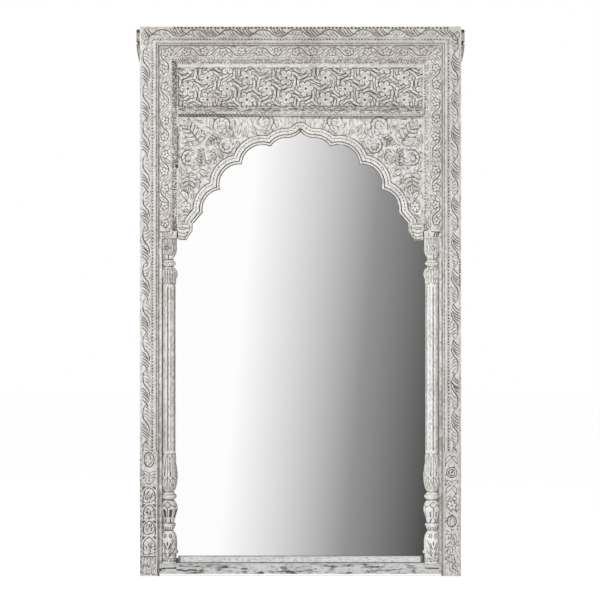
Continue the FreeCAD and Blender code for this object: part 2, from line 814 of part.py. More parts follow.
# Sill between the stiles, lapped into their rebates, with a rounded upper front edge.
round_through_share = 0.29
sill_section = [
    (deep(S.jamb_drop), S.sill_rise),
    (deep(S.jamb_drop), sill_top),
    (deep(S.sill_drop + S.sill_round), sill_top),
    (
        deep(S.sill_drop + S.sill_round * round_through_share),
        sill_top - S.sill_round * round_through_share,
        THROUGH,
    ),
    (deep(S.sill_drop), sill_top - S.sill_round),
    (deep(S.sill_drop), S.sill_rise),
]
sill = new_body("sill")
pad(sill, sketch_on(sill, "YZ_Plane", ZERO, sill_section), -jamb_line * 2, True)
board(sill, S.jamb_drop, S.lip_drop, rectangle(flange_line, S.sill_rise, -flange_line, sill_top))
sill_bores = doc.addObject("Part::Compound", "sill_bores")
sill_bores.Links = [sill_holes, screw_holes]
bored("sill_rail", sill, sill_bores)

# Bevelled slip on the sill in front of the pane; thin ears run on behind the columns to the seats.
slip_top = sill_top + S.slip_height
slip_section = [
    (deep(arch_back), sill_top),
    (deep(arch_back), slip_top),
    (deep(S.slip_back), slip_top),
    (deep(S.slip_drop), slip_top - S.slip_bevel),
    (deep(S.slip_drop), sill_top),
]
slip = new_body("slip")
pad(slip, sketch_on(slip, "YZ_Plane", ZERO, slip_section), -frieze_edge * 2, True)
ear_section = rectangle(deep(S.seat_drop + S.wood_gap), sill_top, deep(arch_back), slip_top - S.slip_bevel)
pad(slip, sketch_on(slip, "YZ_Plane", ZERO, ear_section), -(seat_edge + S.wood_gap) * 2, True)
keep("sill_slip", slip)

# Left horn: a block with a nick and a tail that curves in to the stile.
horn_line = -half_width - S.horn_reach
horn_high = S.frame_height - S.horn_top
nick_level = horn_high - S.horn_block
tail_level = nick_level - S.horn_groove
horn_foot = horn_high - S.horn_height
tail_across_share = 0.62
tail_up_share = 0.36
horn = new_body("horn")
horn_outline = [
    (-half_width, horn_foot),
    (-half_width, horn_high),
    (horn_line, horn_high),
    (horn_line, nick_level),
    (horn_line + S.horn_nick, nick_level),
    (horn_line + S.horn_nick, tail_level),
    (horn_line, tail_level),
    (
        -half_width - S.horn_reach * tail_across_share,
        horn_foot + (tail_level - horn_foot) * tail_up_share,
        THROUGH,
    ),
]
board(horn, S.horn_back, S.horn_front, horn_outline)
horn_left = keep("side_horn_left", horn)
mirrored("side_horn_right", horn_left)

# Pane and back board in the rebate, standing on the sill.
pane_edge = flange_edge
pane_top = frieze_foot - S.flange_lap - S.rebate_play
pane = new_body("pane")
board(pane, pane_back, S.glass_drop, rectangle(pane_edge, sill_top, -pane_edge, pane_top))
keep("mirror_glass", pane)
backing = new_body("backing")
board(backing, board_back, pane_back, rectangle(pane_edge, sill_top, -pane_edge, pane_top))
keep("back_board", backing)

# Battens: two uprights, and three cross strips between them.
side_outline = rectangle(batten_line + S.wood_gap, sill_top, opening_line, batten_top_level - S.wood_gap)
side_strip = new_body("side_strip")
board(side_strip, batten_back, board_back, side_outline)
batten_left = bored("batten_left", side_strip, screw_holes)
mirrored("batten_right", batten_left)
cross_edge = opening_line + S.wood_gap
top_foot = batten_top_level - S.wood_gap - S.batten_width
middle_foot = frieze_foot - S.flange_lap / 2 - S.batten_width / 2
for label, foot in (("batten_top", top_foot), ("batten_middle", middle_foot), ("batten_bottom", sill_top)):
    strip = new_body(f"{label}_strip")
    board(strip, batten_back, board_back, rectangle(cross_edge, foot, -cross_edge, foot + S.batten_width))
    bored(label, strip, screw_holes)

# Left hanger strap: flat steel rolled into an eye at its upper end.
eye_depth = deep(S.jamb_drop + S.eye_stand)
eye = (eye_depth, hanger_height)
bore_radius = S.wire_radius + S.hole_slack
strap = new_body("strap")
strap_outline = rectangle(
    deep(S.jamb_drop), hanger_height - S.strap_length, deep(S.jamb_drop + S.strap_thickness), hanger_height
)
pad(strap, sketch_on(strap, "YZ_Plane", hanger_line, strap_outline), S.strap_width, True)
eye_sketch = sketch_on(strap, "YZ_Plane", hanger_line)
draw_circle(eye_sketch, eye, bore_radius + S.eye_wall)
pad(strap, eye_sketch, S.strap_width, True)
bore_sketch = sketch_on(strap, "YZ_Plane", hanger_line)
draw_circle(bore_sketch, eye, bore_radius)
pocket(strap, bore_sketch, both_ways=True)
strap_left = bored("hanger_strap_left", strap, tack_holes)
mirrored("hanger_strap_right", strap_left)

# Left hanger ring: round wire bent to a D, its straight bar in the eye, hanging down.
bend_share = 0.7071
ring = new_body("ring")
ring_low = hanger_height - S.ring_corner - S.ring_side
bar_end = S.ring_half_width - S.ring_corner
bend_across = bar_end + S.ring_corner * bend_share
bend_down = hanger_height - S.ring_corner + S.ring_corner * bend_share
path_marks = [
    (hanger_line, hanger_height),
    (hanger_line + bar_end, hanger_height),
    (hanger_line + bend_across, bend_down, THROUGH),
    (hanger_line + S.ring_half_width, hanger_height - S.ring_corner),
    (hanger_line + S.ring_half_width, ring_low),
    (hanger_line, ring_low - S.ring_half_width, THROUGH),
    (hanger_line - S.ring_half_width, ring_low),
    (hanger_line - S.ring_half_width, hanger_height - S.ring_corner),
    (hanger_line - bend_across, bend_down, THROUGH),
    (hanger_line - bar_end, hanger_height),
]
wire_path = sketch_on(ring, "XZ_Plane", -eye_depth, path_marks)
wire_sketch = sketch_on(ring, "YZ_Plane", hanger_line)
draw_circle(wire_sketch, eye, S.wire_radius)
wire = ring.newObject("PartDesign::AdditivePipe", "ring_wire")
wire.Profile = wire_sketch
wire.Spine = wire_path
ring_left = keep("hanger_ring_left", ring)
mirrored("hanger_ring_right", ring_left)

doc.recompute()
broken = [item.Name for item in doc.Objects if {"Invalid", "Error"} & set(item.State)]
for label, item in pieces.items():
    if item.Shape.isNull() or not item.Shape.isValid() or not item.Shape.Solids:
        broken.append(label)
if broken:
    raise RuntimeError("unsound pieces: " + ", ".join(broken))
os.makedirs("parts", exist_ok=True)
for label, item in pieces.items():
    item.Shape.exportStep(f"parts/{label}.step")
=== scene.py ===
import math

import bpy
import numpy as np
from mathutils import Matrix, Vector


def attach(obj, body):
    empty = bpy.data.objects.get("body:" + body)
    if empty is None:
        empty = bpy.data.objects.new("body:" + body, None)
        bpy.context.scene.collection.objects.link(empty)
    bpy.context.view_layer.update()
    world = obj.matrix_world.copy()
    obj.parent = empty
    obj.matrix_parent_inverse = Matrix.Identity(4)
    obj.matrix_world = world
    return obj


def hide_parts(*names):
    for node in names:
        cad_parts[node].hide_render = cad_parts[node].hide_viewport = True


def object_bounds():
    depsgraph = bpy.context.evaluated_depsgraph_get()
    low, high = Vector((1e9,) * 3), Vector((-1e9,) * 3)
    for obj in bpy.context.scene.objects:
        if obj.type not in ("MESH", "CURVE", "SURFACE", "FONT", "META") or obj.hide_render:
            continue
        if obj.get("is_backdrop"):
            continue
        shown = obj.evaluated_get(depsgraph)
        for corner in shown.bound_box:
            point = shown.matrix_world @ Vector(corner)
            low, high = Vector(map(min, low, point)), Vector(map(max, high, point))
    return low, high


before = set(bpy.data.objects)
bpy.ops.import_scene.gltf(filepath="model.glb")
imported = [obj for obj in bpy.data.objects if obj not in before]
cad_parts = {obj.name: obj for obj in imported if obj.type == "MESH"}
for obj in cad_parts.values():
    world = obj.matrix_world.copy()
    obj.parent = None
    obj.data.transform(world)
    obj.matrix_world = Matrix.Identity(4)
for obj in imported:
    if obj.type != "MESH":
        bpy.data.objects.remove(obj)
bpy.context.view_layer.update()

# Outer stiles: two full-height hardwood posts with a moulded face, a vine carved by hand up the
# wide band, and niches or leaves on the foot block; limewashed, wiped so that the cuts stay dark,
# and left raw behind. They stand on the floor and are mitred to the head rail.
HANDS = ((-1, "left"), (1, "right"))
FRONT = -45.0
HALF_WIDTH = 535.0
FRAME_TOP = 1830.0
MOULDING = 65.0
LIP, VINE_BAND, DOT_STRIP, BEAD, BLOCK_EDGE, FILLET = 6, 37, 44, 55, 57, 59
BEAD_MIDDLE = 49.5
VINE_MIDDLE, VINE_SWING, VINE_CUT, VINE_GROUND = 21.5, 11.0, 3.0, 3.0
FOOT_BLOCK = 416.0
FOOT_MIDDLE = 31.5
HAIR = 0.06
# Values of the wash and shade field: raw wood, paler lime for painted highlights, clean lime, the
# lime of the sides, and the darkest, for dark wash and painted shade.
BARE, PAINTED_HIGHLIGHT, CLEAN, SIDE_LIME, DARKEST = -2.0, -1.0, -0.5, 0.15, 1.2
# The plain rings behind the carved front: place in from the outer edge, depth, coat.
OUTER_REAR = (
    (MOULDING, 38.0, SIDE_LIME), (49.0, 38.0, SIDE_LIME), (49.0, 90.0, BARE), (0.0, 90.0, BARE),
    (0.0, 88.6, SIDE_LIME),
)


def marks(pitch, *stops):
    """Places from the first stop to the last; at each stop between there are two, a hair apart, for
    a step in the wood."""
    runs = []
    for low, high in zip(stops[:-1], stops[1:]):
        count = max(2, int(round(abs(high - low) / pitch)) + 1)
        slip = math.copysign(HAIR, high - low)
        runs.append(np.linspace(low + slip, high - slip, count))
    runs[0][0], runs[-1][-1] = stops[0], stops[-1]
    return np.concatenate(runs)


def softened(field, reach):
    """The field averaged over a few neighbours each way."""
    for axis in (0, 1):
        near = min(reach, field.shape[axis] // 2 - 1)
        if near < 1:
            continue
        margin = [(0, 0), (0, 0)]
        margin[axis] = (near + 1, near)
        total = np.cumsum(np.pad(field, margin, mode="edge"), axis)
        size, window = field.shape[axis], 2 * near + 1
        later = np.take(total, np.arange(window, window + size), axis)
        field = (later - np.take(total, np.arange(size), axis)) / window
    return field


class CarvedFace:
    """A face laid out flat in millimetres, a across and b along, with what chisels leave on it."""

    def __init__(self, a, b, ground=0.0):
        self.a, self.b = (np.array(v, float) for v in np.broadcast_arrays(a, b))
        self.ground = np.array(np.broadcast_to(ground, self.a.shape), float)
        self.raised = np.zeros(self.a.shape)
        self.cut = np.zeros(self.a.shape)

    def near(self, points, reach):
        low, high = points.min(0) - reach, points.max(0) + reach
        across = (self.a > low[0]) & (self.a < high[0])
        return np.nonzero(across & (self.b > low[1]) & (self.b < high[1]))

    def follow(self, path, reach):
        """Spots near a line, their sideways distance and their share of the way along it."""
        path = np.asarray(path, float)
        spots = self.near(path, reach)
        point = np.stack((self.a[spots], self.b[spots]), -1)
        step = np.diff(path, axis=0)
        length = np.maximum(np.hypot(step[:, 0], step[:, 1]), 1e-6)
        reach_in = point[:, None, :] - path[None, :-1]
        share = np.clip((reach_in * step).sum(-1) / length**2, 0, 1)
        off = reach_in - share[..., None] * step
        gap = np.hypot(off[..., 0], off[..., 1])
        row, pick = np.arange(len(point)), gap.argmin(1)
        turn = step[pick, 0] * off[row, pick, 1] - step[pick, 1] * off[row, pick, 0]
        walked = np.concatenate(([0], np.cumsum(length)))
        way = (walked[pick] + share[row, pick] * length[pick]) / walked[-1]
        return spots, np.copysign(gap[row, pick], turn), way

    def dig(self, spots, depth):
        self.cut[spots] = np.maximum(self.cut[spots], depth)

    def build(self, spots, height):
        self.raised[spots] = np.maximum(self.raised[spots], height)

    def groove(self, path, width, depth, swell=0.0):
        """A round-bottomed cut; with swell it is deepest halfway along."""
        spots, off, way = self.follow(path, width)
        depth = depth * (1 - swell + swell * np.sin(np.pi * way))
        self.dig(spots, depth * np.clip(1 - (2 * off / width) ** 2, 0, None))

    def rib(self, path, width, height):
        spots, off, _ = self.follow(path, width)
        self.build(spots, height * np.sqrt(np.clip(1 - (2 * off / width) ** 2, 0, None)))

    def leaf(self, root, tip, width, bow=0.0, veins=3, barbs=0, height=2.4, cut=1.5):
        """A domed leaf with cuts for its veins, notches for its barbs and a cut round its rim."""
        vein_width, rim_away, rim_width, bare_rib = 1.3, 0.9, 1.2, 0.12
        root, tip = np.array(root, float), np.array(tip, float)
        lean = tip - root
        way = np.linspace(0, 1, 9)[:, None]
        side = np.array((-lean[1], lean[0])) * bow
        spots, off, way = self.follow(root + lean * way + side * 4 * way * (1 - way), width)
        half = 0.5 * width * np.sin(np.pi * way**0.8) ** 0.7 + 1e-6
        share = off / half
        inside = np.abs(share) < 1
        dome = np.sqrt(np.clip(1 - 0.75 * share**2, 0, None))
        self.build(spots, np.where(inside, height * dome, 0))
        for line in np.linspace(-1, 1, veins + 2)[1:-1]:
            gap = np.abs(share - line) * half
            self.dig(spots, np.where(inside, cut * np.clip(1 - gap / vein_width, 0, None), 0))
        if barbs:
            beat = (way * barbs - 0.45 * np.abs(share)) % 1
            notch = np.clip(1 - np.abs(beat - 0.5) / 0.3, 0, None)
            self.dig(spots, np.where(inside & (np.abs(share) > bare_rib), cut * notch, 0))
        rim = np.abs(off) - half
        edge = cut * np.clip(1 - np.abs(rim - rim_away) / rim_width, 0, None)
        self.dig(spots, np.where(rim > 0, edge, 0))

    def flower(self, centre, radius, petals, turn=0.0, height=2.6, eye=2.4, cut=1.7):
        """Round petals drawn in to a point at the eye, each with a cut all round it."""
        rim_away, rim_width = 0.5, 1.5
        spots = self.near(np.array([centre], float), radius + 3)
        x, y = self.a[spots] - centre[0], self.b[spots] - centre[1]
        out = np.hypot(x, y)
        sector = 2 * np.pi / petals
        lean = (np.arctan2(y, x) - turn) % sector - sector / 2
        spread = 0.48 * sector
        seat = radius / (1 + math.sin(spread))
        lobe = radius - seat
        along, aside = out * np.cos(lean), np.abs(out * np.sin(lean))
        past = along > seat * math.cos(spread) ** 2
        wedge = aside * math.cos(spread) - along * math.sin(spread)
        edge = np.where(past, np.hypot(along - seat, aside) - lobe, wedge)
        dome = 0.5 + 0.5 * np.sin(0.5 * np.pi * np.clip(-edge / (0.7 * lobe), 0, 1))
        self.build(spots, np.where(edge < 0, height * dome, 0))
        ring = cut * np.clip(1 - np.abs(edge - rim_away) / rim_width, 0, None)
        ring = ring * np.clip((out / radius - 0.3) / 0.35, 0.12, 1)
        self.dig(spots, np.where(out < radius + 2.5, ring, 0))
        self.pit(centre, eye, 1.9 * cut)

    def pit(self, centre, radius, depth):
        spots = self.near(np.array([centre], float), radius)
        out = np.hypot(self.a[spots] - centre[0], self.b[spots] - centre[1]) / radius
        self.dig(spots, depth * np.clip(1 - out**3, 0, None))

    def chip(self, corner, way, size, depth):
        """A three-cornered chip taken out below and beside a corner."""
        aside, under = way * (self.a - corner[0]), corner[1] - self.b
        self.dig(np.nonzero((aside > 0) & (under > 0) & (aside + under < size)), depth)

    def dashes(self, at, width, depth, pitch, share=0.62, drift=1.0):
        """A broken line along the face, with dashes of uneven strength."""
        band = np.clip(1 - (2 * (self.a - at) / width) ** 2, 0, None)
        beat = np.abs(2 * ((self.b / pitch + drift * np.sin(self.b / 61.0)) % 1) - 1)
        strength = 0.68 + 0.32 * np.sin(self.b / 47.0 + at) * np.sin(self.b / 19.0 + 2 * at)
        dash = depth * strength * band * np.clip((share - beat) / 0.25, 0, 1)
        self.cut = np.maximum(self.cut, dash)

    def depth(self, rng, rough=0.35):
        """How far the worked face lies behind the plain one."""
        tooling = softened(rng.normal(0, 1, self.a.shape), 1) * rough
        ground = np.clip(self.ground - self.raised, 0, None)
        self.work = np.clip(ground + self.cut + tooling * np.clip(ground, 0.15, 1), 0, None)
        return self.work

    def wash_and_shade(self, drop):
        """Dark wash in cuts; in what lies lower than the wood around it, dark wash and painted
        shade.
        """
        hollow, broad = (drop - softened(drop, reach) for reach in (3, 9))
        wash = 0.20 * hollow + 0.03 * broad + 0.27 * self.cut + 0.04 * self.work
        return np.clip(wash, CLEAN, DARKEST)


def spiral(centre, outer, inner, start, turns, hand=1):
    way = np.linspace(0, 1, int(26 * turns) + 3)
    angle = np.radians(start) + hand * 2 * np.pi * turns * way
    reach = outer + (inner - outer) * way
    return np.stack((centre[0] + reach * np.cos(angle), centre[1] + reach * np.sin(angle)), -1)


def closed_piece(name, x, y, z, wash_and_shade):
    """One closed mesh of rings in millimetres: first axis round the piece, second along it."""
    rings, places = x.shape
    grid = np.stack((x, y, z), -1)
    point = grid.reshape(-1, 3) * 0.001
    index = np.arange(rings * places).reshape(rings, places)
    after = np.roll(index, -1, 0)
    quads = np.stack((index[:, :-1], after[:, :-1], after[:, 1:], index[:, 1:]), -1).reshape(-1, 4)
    ends = [index[::-1, 0], index[:, -1]]
    # The skin is laid out in columns side by side, with the two ends in a strip above them.
    girth = np.linalg.norm(np.roll(grid, -1, 0) - grid, axis=2).mean(1)
    round_share = np.concatenate(([0], np.cumsum(girth) / girth.sum()))
    length = np.linalg.norm(np.diff(grid, axis=1), axis=2).mean(0).sum()
    columns = max(1, int(round(math.sqrt(length / girth.sum()))))
    tall = math.ceil((places - 1) / columns)
    place = np.arange(places - 1)
    column, row = place // tall, place % tall
    across = (column[None] + 0.03 + 0.94 * round_share[:, None]) / columns
    u = np.stack((across[:-1], across[1:], across[1:], across[:-1]), -1)
    low, high = 0.92 * row / tall + 0.01, 0.92 * (row + 1) / tall + 0.01
    v = np.broadcast_to(np.stack((low, low, high, high), -1)[None], u.shape)
    uv = np.stack((u, v), -1).reshape(-1, 4, 2)
    cap = np.linspace(0, 2 * np.pi, rings, endpoint=False)
    caps = [
        np.stack((0.25 + 0.5 * k + 0.2 * np.cos(cap), 0.965 + 0.025 * np.sin(cap)), -1)
        for k in (0, 1)
    ]
    # Faces that look inward are turned over.
    fan = [np.stack((np.full(rings - 2, e[0]), e[1:-1], e[2:]), -1) for e in ends]
    faces = np.concatenate((quads[:, :3], quads[:, [0, 2, 3]], *fan))
    corner = point[faces] - point.mean(0)
    if np.einsum("ij,ij->", corner[:, 0], np.cross(corner[:, 1], corner[:, 2])) <= 0:
        quads, uv = quads[:, ::-1], uv[:, ::-1]
        ends, caps = [e[::-1] for e in ends], [c[::-1] for c in caps]
    mesh = bpy.data.meshes.new(name)
    loops = quads.tolist() + [e.tolist() for e in ends]
    mesh.from_pydata(point.tolist(), [], loops, shade_flat=False)
    layout = np.concatenate((uv.reshape(-1, 2), *caps)).astype(np.float32)
    mesh.uv_layers.new(name="OFBake").data.foreach_set("uv", layout.ravel())
    held = mesh.attributes.new("wash_and_shade", "FLOAT", "POINT")
    held.data.foreach_set("value", wash_and_shade.astype(np.float32).ravel())
    mesh.set_sharp_from_angle(angle=math.radians(48))
    piece = bpy.data.objects.new(name, mesh)
    bpy.context.scene.collection.objects.link(piece)
    return piece


def settle(piece, finish, node):
    """Gives a frame piece its finish and lets it stand for its plain solid."""
    piece.data.materials.append(finish)
    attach(piece, "frame")
    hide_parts(node)


def carved_piece(name, finish, node, x, z, drop, shade, rear=(), ahead=()):
    """A carved front, its depth and its coat, closed by plain rings behind it and ahead of it."""

    def plain(rows, column):
        return [np.full(drop.shape[1], row[column]) for row in rows]

    y = np.array([*plain(ahead, 1), *drop, *plain(rear, 1)]) + FRONT
    wash_and_shade = np.array([*plain(ahead, 2), *shade, *plain(rear, 2)])
    piece = closed_piece(name, np.broadcast_to(x, y.shape), y, np.broadcast_to(z, y.shape), wash_and_shade)
    settle(piece, finish, node)


def ring_of(front, rear, ahead=()):
    """Places round a piece, over its carved front and its plain rings."""
    return np.concatenate(([row[0] for row in ahead], front, [row[0] for row in rear]))[:, None]


def mitre(ring, shoulder, corner, count):
    """Places from the shoulder to the mitre, which each ring place meets at its own length."""
    return shoulder + np.linspace(0, 1, count)[1:] * (corner - ring - shoulder)


def mitred_post(ring, plain, corner, count):
    straight = np.broadcast_to(plain, (len(ring), len(plain)))
    return np.concatenate((straight, mitre(ring, plain[-1], corner, count)), 1)


def mitred_rail(ring, shoulder, places, corner, count):
    straight = np.broadcast_to(np.linspace(-shoulder, shoulder, places), (len(ring), places))
    end = mitre(ring, shoulder, corner, count)
    return np.concatenate((-end[:, ::-1], straight, end), 1)


def wire(tree, *pairs):
    for source, target in pairs:
        tree.links.new(source, target)


def add_node(tree, kind, **values):
    """A node of one kind with some sockets set; an underscore stands for the space in a name."""
    made = tree.nodes.new("ShaderNode" + kind)
    for socket, value in values.items():
        made.inputs[socket.replace("_", " ")].default_value = value
    return made


def new_finish(name):
    """A material, its node tree and the sockets of its shader."""
    finish = bpy.data.materials.new(name)
    finish.use_nodes = True
    return finish, finish.node_tree, finish.node_tree.nodes["Principled BSDF"].inputs


def limewash_coat():
    """Thin white lime over open grain: mottled, brushed along the grain, dark where not wiped; its
    field adds painted shade and painted highlights.
    """
    coat = bpy.data.node_groups.new("limewash_coat", "ShaderNodeTree")
    for way, kind, name in (
        ("INPUT", "Vector", "Place"), ("INPUT", "Float", "WashAndShade"), ("INPUT", "Color", "Pale"),
        ("INPUT", "Color", "Tint"), ("INPUT", "Color", "Dark"), ("OUTPUT", "Color", "Color"),
        ("OUTPUT", "Float", "Roughness"), ("OUTPUT", "Float", "Height"),
    ):
        coat.interface.new_socket(name=name, in_out=way, socket_type="NodeSocket" + kind)
    inlet = coat.nodes.new("NodeGroupInput").outputs
    outlet = coat.nodes.new("NodeGroupOutput").inputs
    colour_a, colour_b, colour_out = 6, 7, 2

    def cloud(scale, detail, drawn_out=1.0):
        """Noise, drawn out along the grain."""
        noise = add_node(coat, "TexNoise", Scale=scale, Detail=detail)
        stretch = add_node(coat, "VectorMath")
        stretch.operation = "MULTIPLY"
        stretch.inputs[1].default_value = (1.0, 1.0, drawn_out)
        wire(coat, (inlet["Place"], stretch.inputs[0]))
        wire(coat, (stretch.outputs[0], noise.inputs["Vector"]))
        return noise.outputs["Fac"]

    def span(source, low, high, out_low, out_high):
        limits = {"From_Min": low, "From_Max": high, "To_Min": out_low, "To_Max": out_high}
        ranged = add_node(coat, "MapRange", **limits)
        ranged.interpolation_type = "SMOOTHSTEP"
        wire(coat, (source, ranged.inputs["Value"]))
        return ranged.outputs["Result"]

    def blend(kind, factor, first, second):
        mixed = add_node(coat, "Mix")
        mixed.data_type, mixed.blend_type = "RGBA", kind
        wire(coat, (factor, mixed.inputs["Factor"]))
        for socket, source in ((mixed.inputs[colour_a], first), (mixed.inputs[colour_b], second)):
            if isinstance(source, tuple):
                socket.default_value = (*source, 1)
            else:
                wire(coat, (source, socket))
        return mixed.outputs[colour_out]

    def sum_of(first, second):
        added = add_node(coat, "Math")
        added.operation = "ADD"
        wire(coat, (first, added.inputs[0]), (second, added.inputs[1]))
        return added.outputs[0]

    mottle, patch = cloud(9.0, 4.0), cloud(85.0, 5.0)
    grain, speck = cloud(420.0, 3.0, 0.07), cloud(210.0, 3.0, 0.35)
    lime = blend("MIX", span(mottle, 0.42, 0.68, 0.0, 0.8), inlet["Pale"], inlet["Tint"])
    lime = blend("MULTIPLY", span(patch, 0.5, 0.74, 0.0, 0.55), lime, (0.72, 0.70, 0.68))
    lime = blend("MULTIPLY", span(grain, 0.55, 0.75, 0.0, 0.5), lime, (0.62, 0.58, 0.54))
    lime = blend("MULTIPLY", span(speck, 0.48, 0.70, 0.0, 0.8), lime, (0.55, 0.53, 0.51))
    # Paler lime for painted highlights; the dark mix below is dark wash and painted shade, near
    # black where the field is highest.
    painted_highlight_mix = span(inlet["WashAndShade"], 0.9 * PAINTED_HIGHLIGHT, 0.6 * PAINTED_HIGHLIGHT, 0.5, 0.0)
    lime = blend("MIX", painted_highlight_mix, lime, (0.86, 0.84, 0.81))
    unrest = span(patch, 0.3, 0.7, 0.0, 0.22)
    stain_and_shade = span(sum_of(inlet["WashAndShade"], unrest), 0.18, 0.95, 0.0, 1.0)
    washed = blend("MIX", stain_and_shade, lime, inlet["Dark"])
    near_black = span(inlet["WashAndShade"], 1.25, 2.0, 0.0, 0.85)
    washed = blend("MIX", near_black, washed, (0.045, 0.04, 0.036))
    raw = blend("MIX", span(grain, 0.38, 0.62, 0.0, 1.0), (0.42, 0.335, 0.25), (0.27, 0.205, 0.15))
    raw = blend("MULTIPLY", span(mottle, 0.4, 0.7, 0.0, 0.6), raw, (0.72, 0.68, 0.64))
    unwashed = span(inlet["WashAndShade"], BARE, 0.6 * BARE, 1.0, 0.0)
    wire(
        coat,
        (blend("MIX", unwashed, washed, raw), outlet["Color"]),
        (span(patch, 0.3, 0.7, 0.66, 0.88), outlet["Roughness"]),
        (sum_of(grain, patch), outlet["Height"]),
    )
    return coat


coat = limewash_coat()


def limewash(name, pale, tint, dark, grain_along="Z"):
    """A limewashed finish with its grain along the named axis."""
    finish, tree, shader = new_finish("limewash_" + name)
    shader["Specular IOR Level"].default_value = 0.25
    spot, turned = add_node(tree, "TexCoord"), add_node(tree, "Mapping")
    if grain_along == "X":
        turned.inputs["Rotation"].default_value = (0, math.radians(90), 0)
    wash_and_shade = add_node(tree, "Attribute")
    wash_and_shade.attribute_name = "wash_and_shade"
    layer = add_node(tree, "Group")
    layer.node_tree = coat
    for socket, colour in (("Pale", pale), ("Tint", tint), ("Dark", dark)):
        layer.inputs[socket].default_value = (*colour, 1)
    bump = add_node(tree, "Bump", Strength=0.35, Distance=0.0009)
    wire(
        tree,
        (spot.outputs["Object"], turned.inputs["Vector"]),
        (turned.outputs["Vector"], layer.inputs["Place"]),
        (wash_and_shade.outputs["Fac"], layer.inputs["WashAndShade"]),
        (layer.outputs["Color"], shader["Base Color"]),
        (layer.outputs["Roughness"], shader["Roughness"]),
        (layer.outputs["Height"], bump.inputs["Height"]),
        (bump.outputs["Normal"], shader["Normal"]),
    )
    return finish


LIME_DARK = (0.085, 0.075, 0.066)
stile_finish = limewash("stile", (0.71, 0.695, 0.68), (0.61, 0.585, 0.56), LIME_DARK)


def outer_moulding(s):
    """How far the moulding lies behind the foremost wood, s in from the outer edge."""
    bead = 6 - 5.5 * np.sqrt(np.clip(1 - ((s - BEAD_MIDDLE) / 5.5) ** 2, 0, None))
    cove = 9 + np.sqrt(np.clip(36 - (MOULDING - s) ** 2, 0, None))
    members = [s < LIP, s < VINE_BAND, s < DOT_STRIP, s < BEAD, s < FILLET]
    return np.select(members, [5.0, 0.0, 6.0, bead, 9.0], cove)


def half_waves(half, crest, start, stop, middle, swing, bend, places):
    """The half waves of a winding stem: the side each starts from, its height and its line."""
    way = np.linspace(0, 1, places)
    wave = np.tanh(bend * np.cos(np.pi * way)) / np.tanh(bend)
    for step in range(math.floor((start - crest) / half), math.ceil((stop - crest) / half) + 1):
        low, side = crest + step * half, -1 if step % 2 == 0 else 1
        if start <= low <= stop:
            yield side, low, np.stack((middle + side * swing * wave, low + half * way), -1)


def vine(face, rng, period, crest, start, stop, lean, faint=VINE_CUT):
    """A waving stem; bold slanting strokes fill each outer bay, a smaller leaf with two dots each
    inner one. The stem may be fainter on one slant."""
    half, middle, reach = period / 2, VINE_MIDDLE, np.linspace(0, 1, 6)
    waves = half_waves(half, crest, start - half, stop, middle, VINE_SWING, 1.3, 11)
    for side, low, stem in waves:
        face.groove(stem, 4.2, faint if side == lean else VINE_CUT, 0.45)
        sway = rng.normal(0, 1.0, 8)
        if side > 0:
            face.rib(((middle - 2, low - 0.5 * half), (middle - 2, low + 0.5 * half)), 30, 3.0)
            for stroke in range(5):
                foot = low + (stroke - 2.3) * 9.2 - 9 * lean + sway[stroke]
                across = middle - 13.5 + reach * (25 - 3 * abs(stroke - 2))
                rise = lean * (20 * reach - 3.0 * np.sin(np.pi * reach))
                face.groove(np.stack((across, foot + rise), -1), 4.4, 2.6, 0.3)
        else:
            face.rib(((middle + 4, low - 0.45 * half), (middle + 4, low + 0.45 * half)), 22, 2.6)
            tilt = lean if sway[2] > -0.4 else -lean
            for stroke in range(4):
                foot = low + (stroke - 1.5) * 11.0 - 5 * tilt + sway[3 + stroke]
                across = middle - 5 + reach * (19 - 3 * abs(stroke - 1.5))
                rise = tilt * (13 * reach - 4.0 * np.sin(np.pi * reach))
                face.groove(np.stack((across, foot + rise), -1), 3.6, 2.0, 0.4)
            face.pit((middle + 0.30 * VINE_SWING + sway[5], low - 24 * lean), 2.8, 3.2)
            face.pit((middle + 1.05 * VINE_SWING, low + 25 * lean + sway[6]), 2.4, 2.8)


def bead_rows(face, drift):
    """The dotted strip, the nicked bead and the broken lines beside it."""
    face.dashes(42.4, 5.2, 2.3, 10.5, 0.6, drift)
    face.dashes(38.6, 2.6, 1.3, 8.0, 0.45, drift + 0.4)
    face.dashes(55.8, 3.0, 2.0, 14.0, 0.7, drift + 0.8)
    face.dashes(63.6, 3.4, 2.6, 60.0, 1.3, drift + 1.3)
    nick = np.abs(2 * (((face.b + 1.1 * (face.a - BEAD_MIDDLE)) / 8.5) % 1) - 1)
    on_bead = (face.a > DOT_STRIP) & (face.a < BEAD)
    strength = 0.6 + 0.4 * np.sin(face.b / 41.0 + drift)
    nicks = np.where(on_bead, strength * np.clip(1 - nick / 0.3, 0, 1), 0)
    face.cut = np.maximum(face.cut, nicks)


def niche(face, rng, foot, head):
    """A pointed niche with dark corners and a loose fan of leaves in it."""
    middle, rise = FOOT_MIDDLE, np.linspace(0, 1, 9)
    for side, _ in HANDS:
        point = np.sqrt(np.clip(1 - np.clip(rise - 0.35, 0, 1) ** 2 / 0.4225, 0, 1))
        across = middle + side * 19.5 * point
        across = across + rng.normal(0, 0.9, 9)
        face.groove(np.stack((across, foot + 3 + (head - foot - 5) * rise), -1), 3.6, 2.8, 0.25)
        face.chip((middle + 22.0 * side, head), -side, 11.0, 3.4)
    for turn in (-62, -32, 0, 32, 62):
        turn = turn + rng.normal(0, 8)
        lean = np.array((math.sin(math.radians(turn)), math.cos(math.radians(turn))))
        base = np.array((middle, foot + 8.0))
        tip = base + lean * 0.62 * (head - foot) * (1 - abs(turn) / 200)
        face.leaf(base, tip, 9, rng.normal(0, 0.12), 1, height=3.2, cut=2.4)
    for root in rng.uniform((middle - 10, foot + 10), (middle + 10, head - 20), (5, 2)):
        face.groove((root, root + rng.uniform((-5, 6), (5, 12))), 4.0, 3.6, 0.3)
    face.pit((middle, foot + 7), 3.4, 3.2)


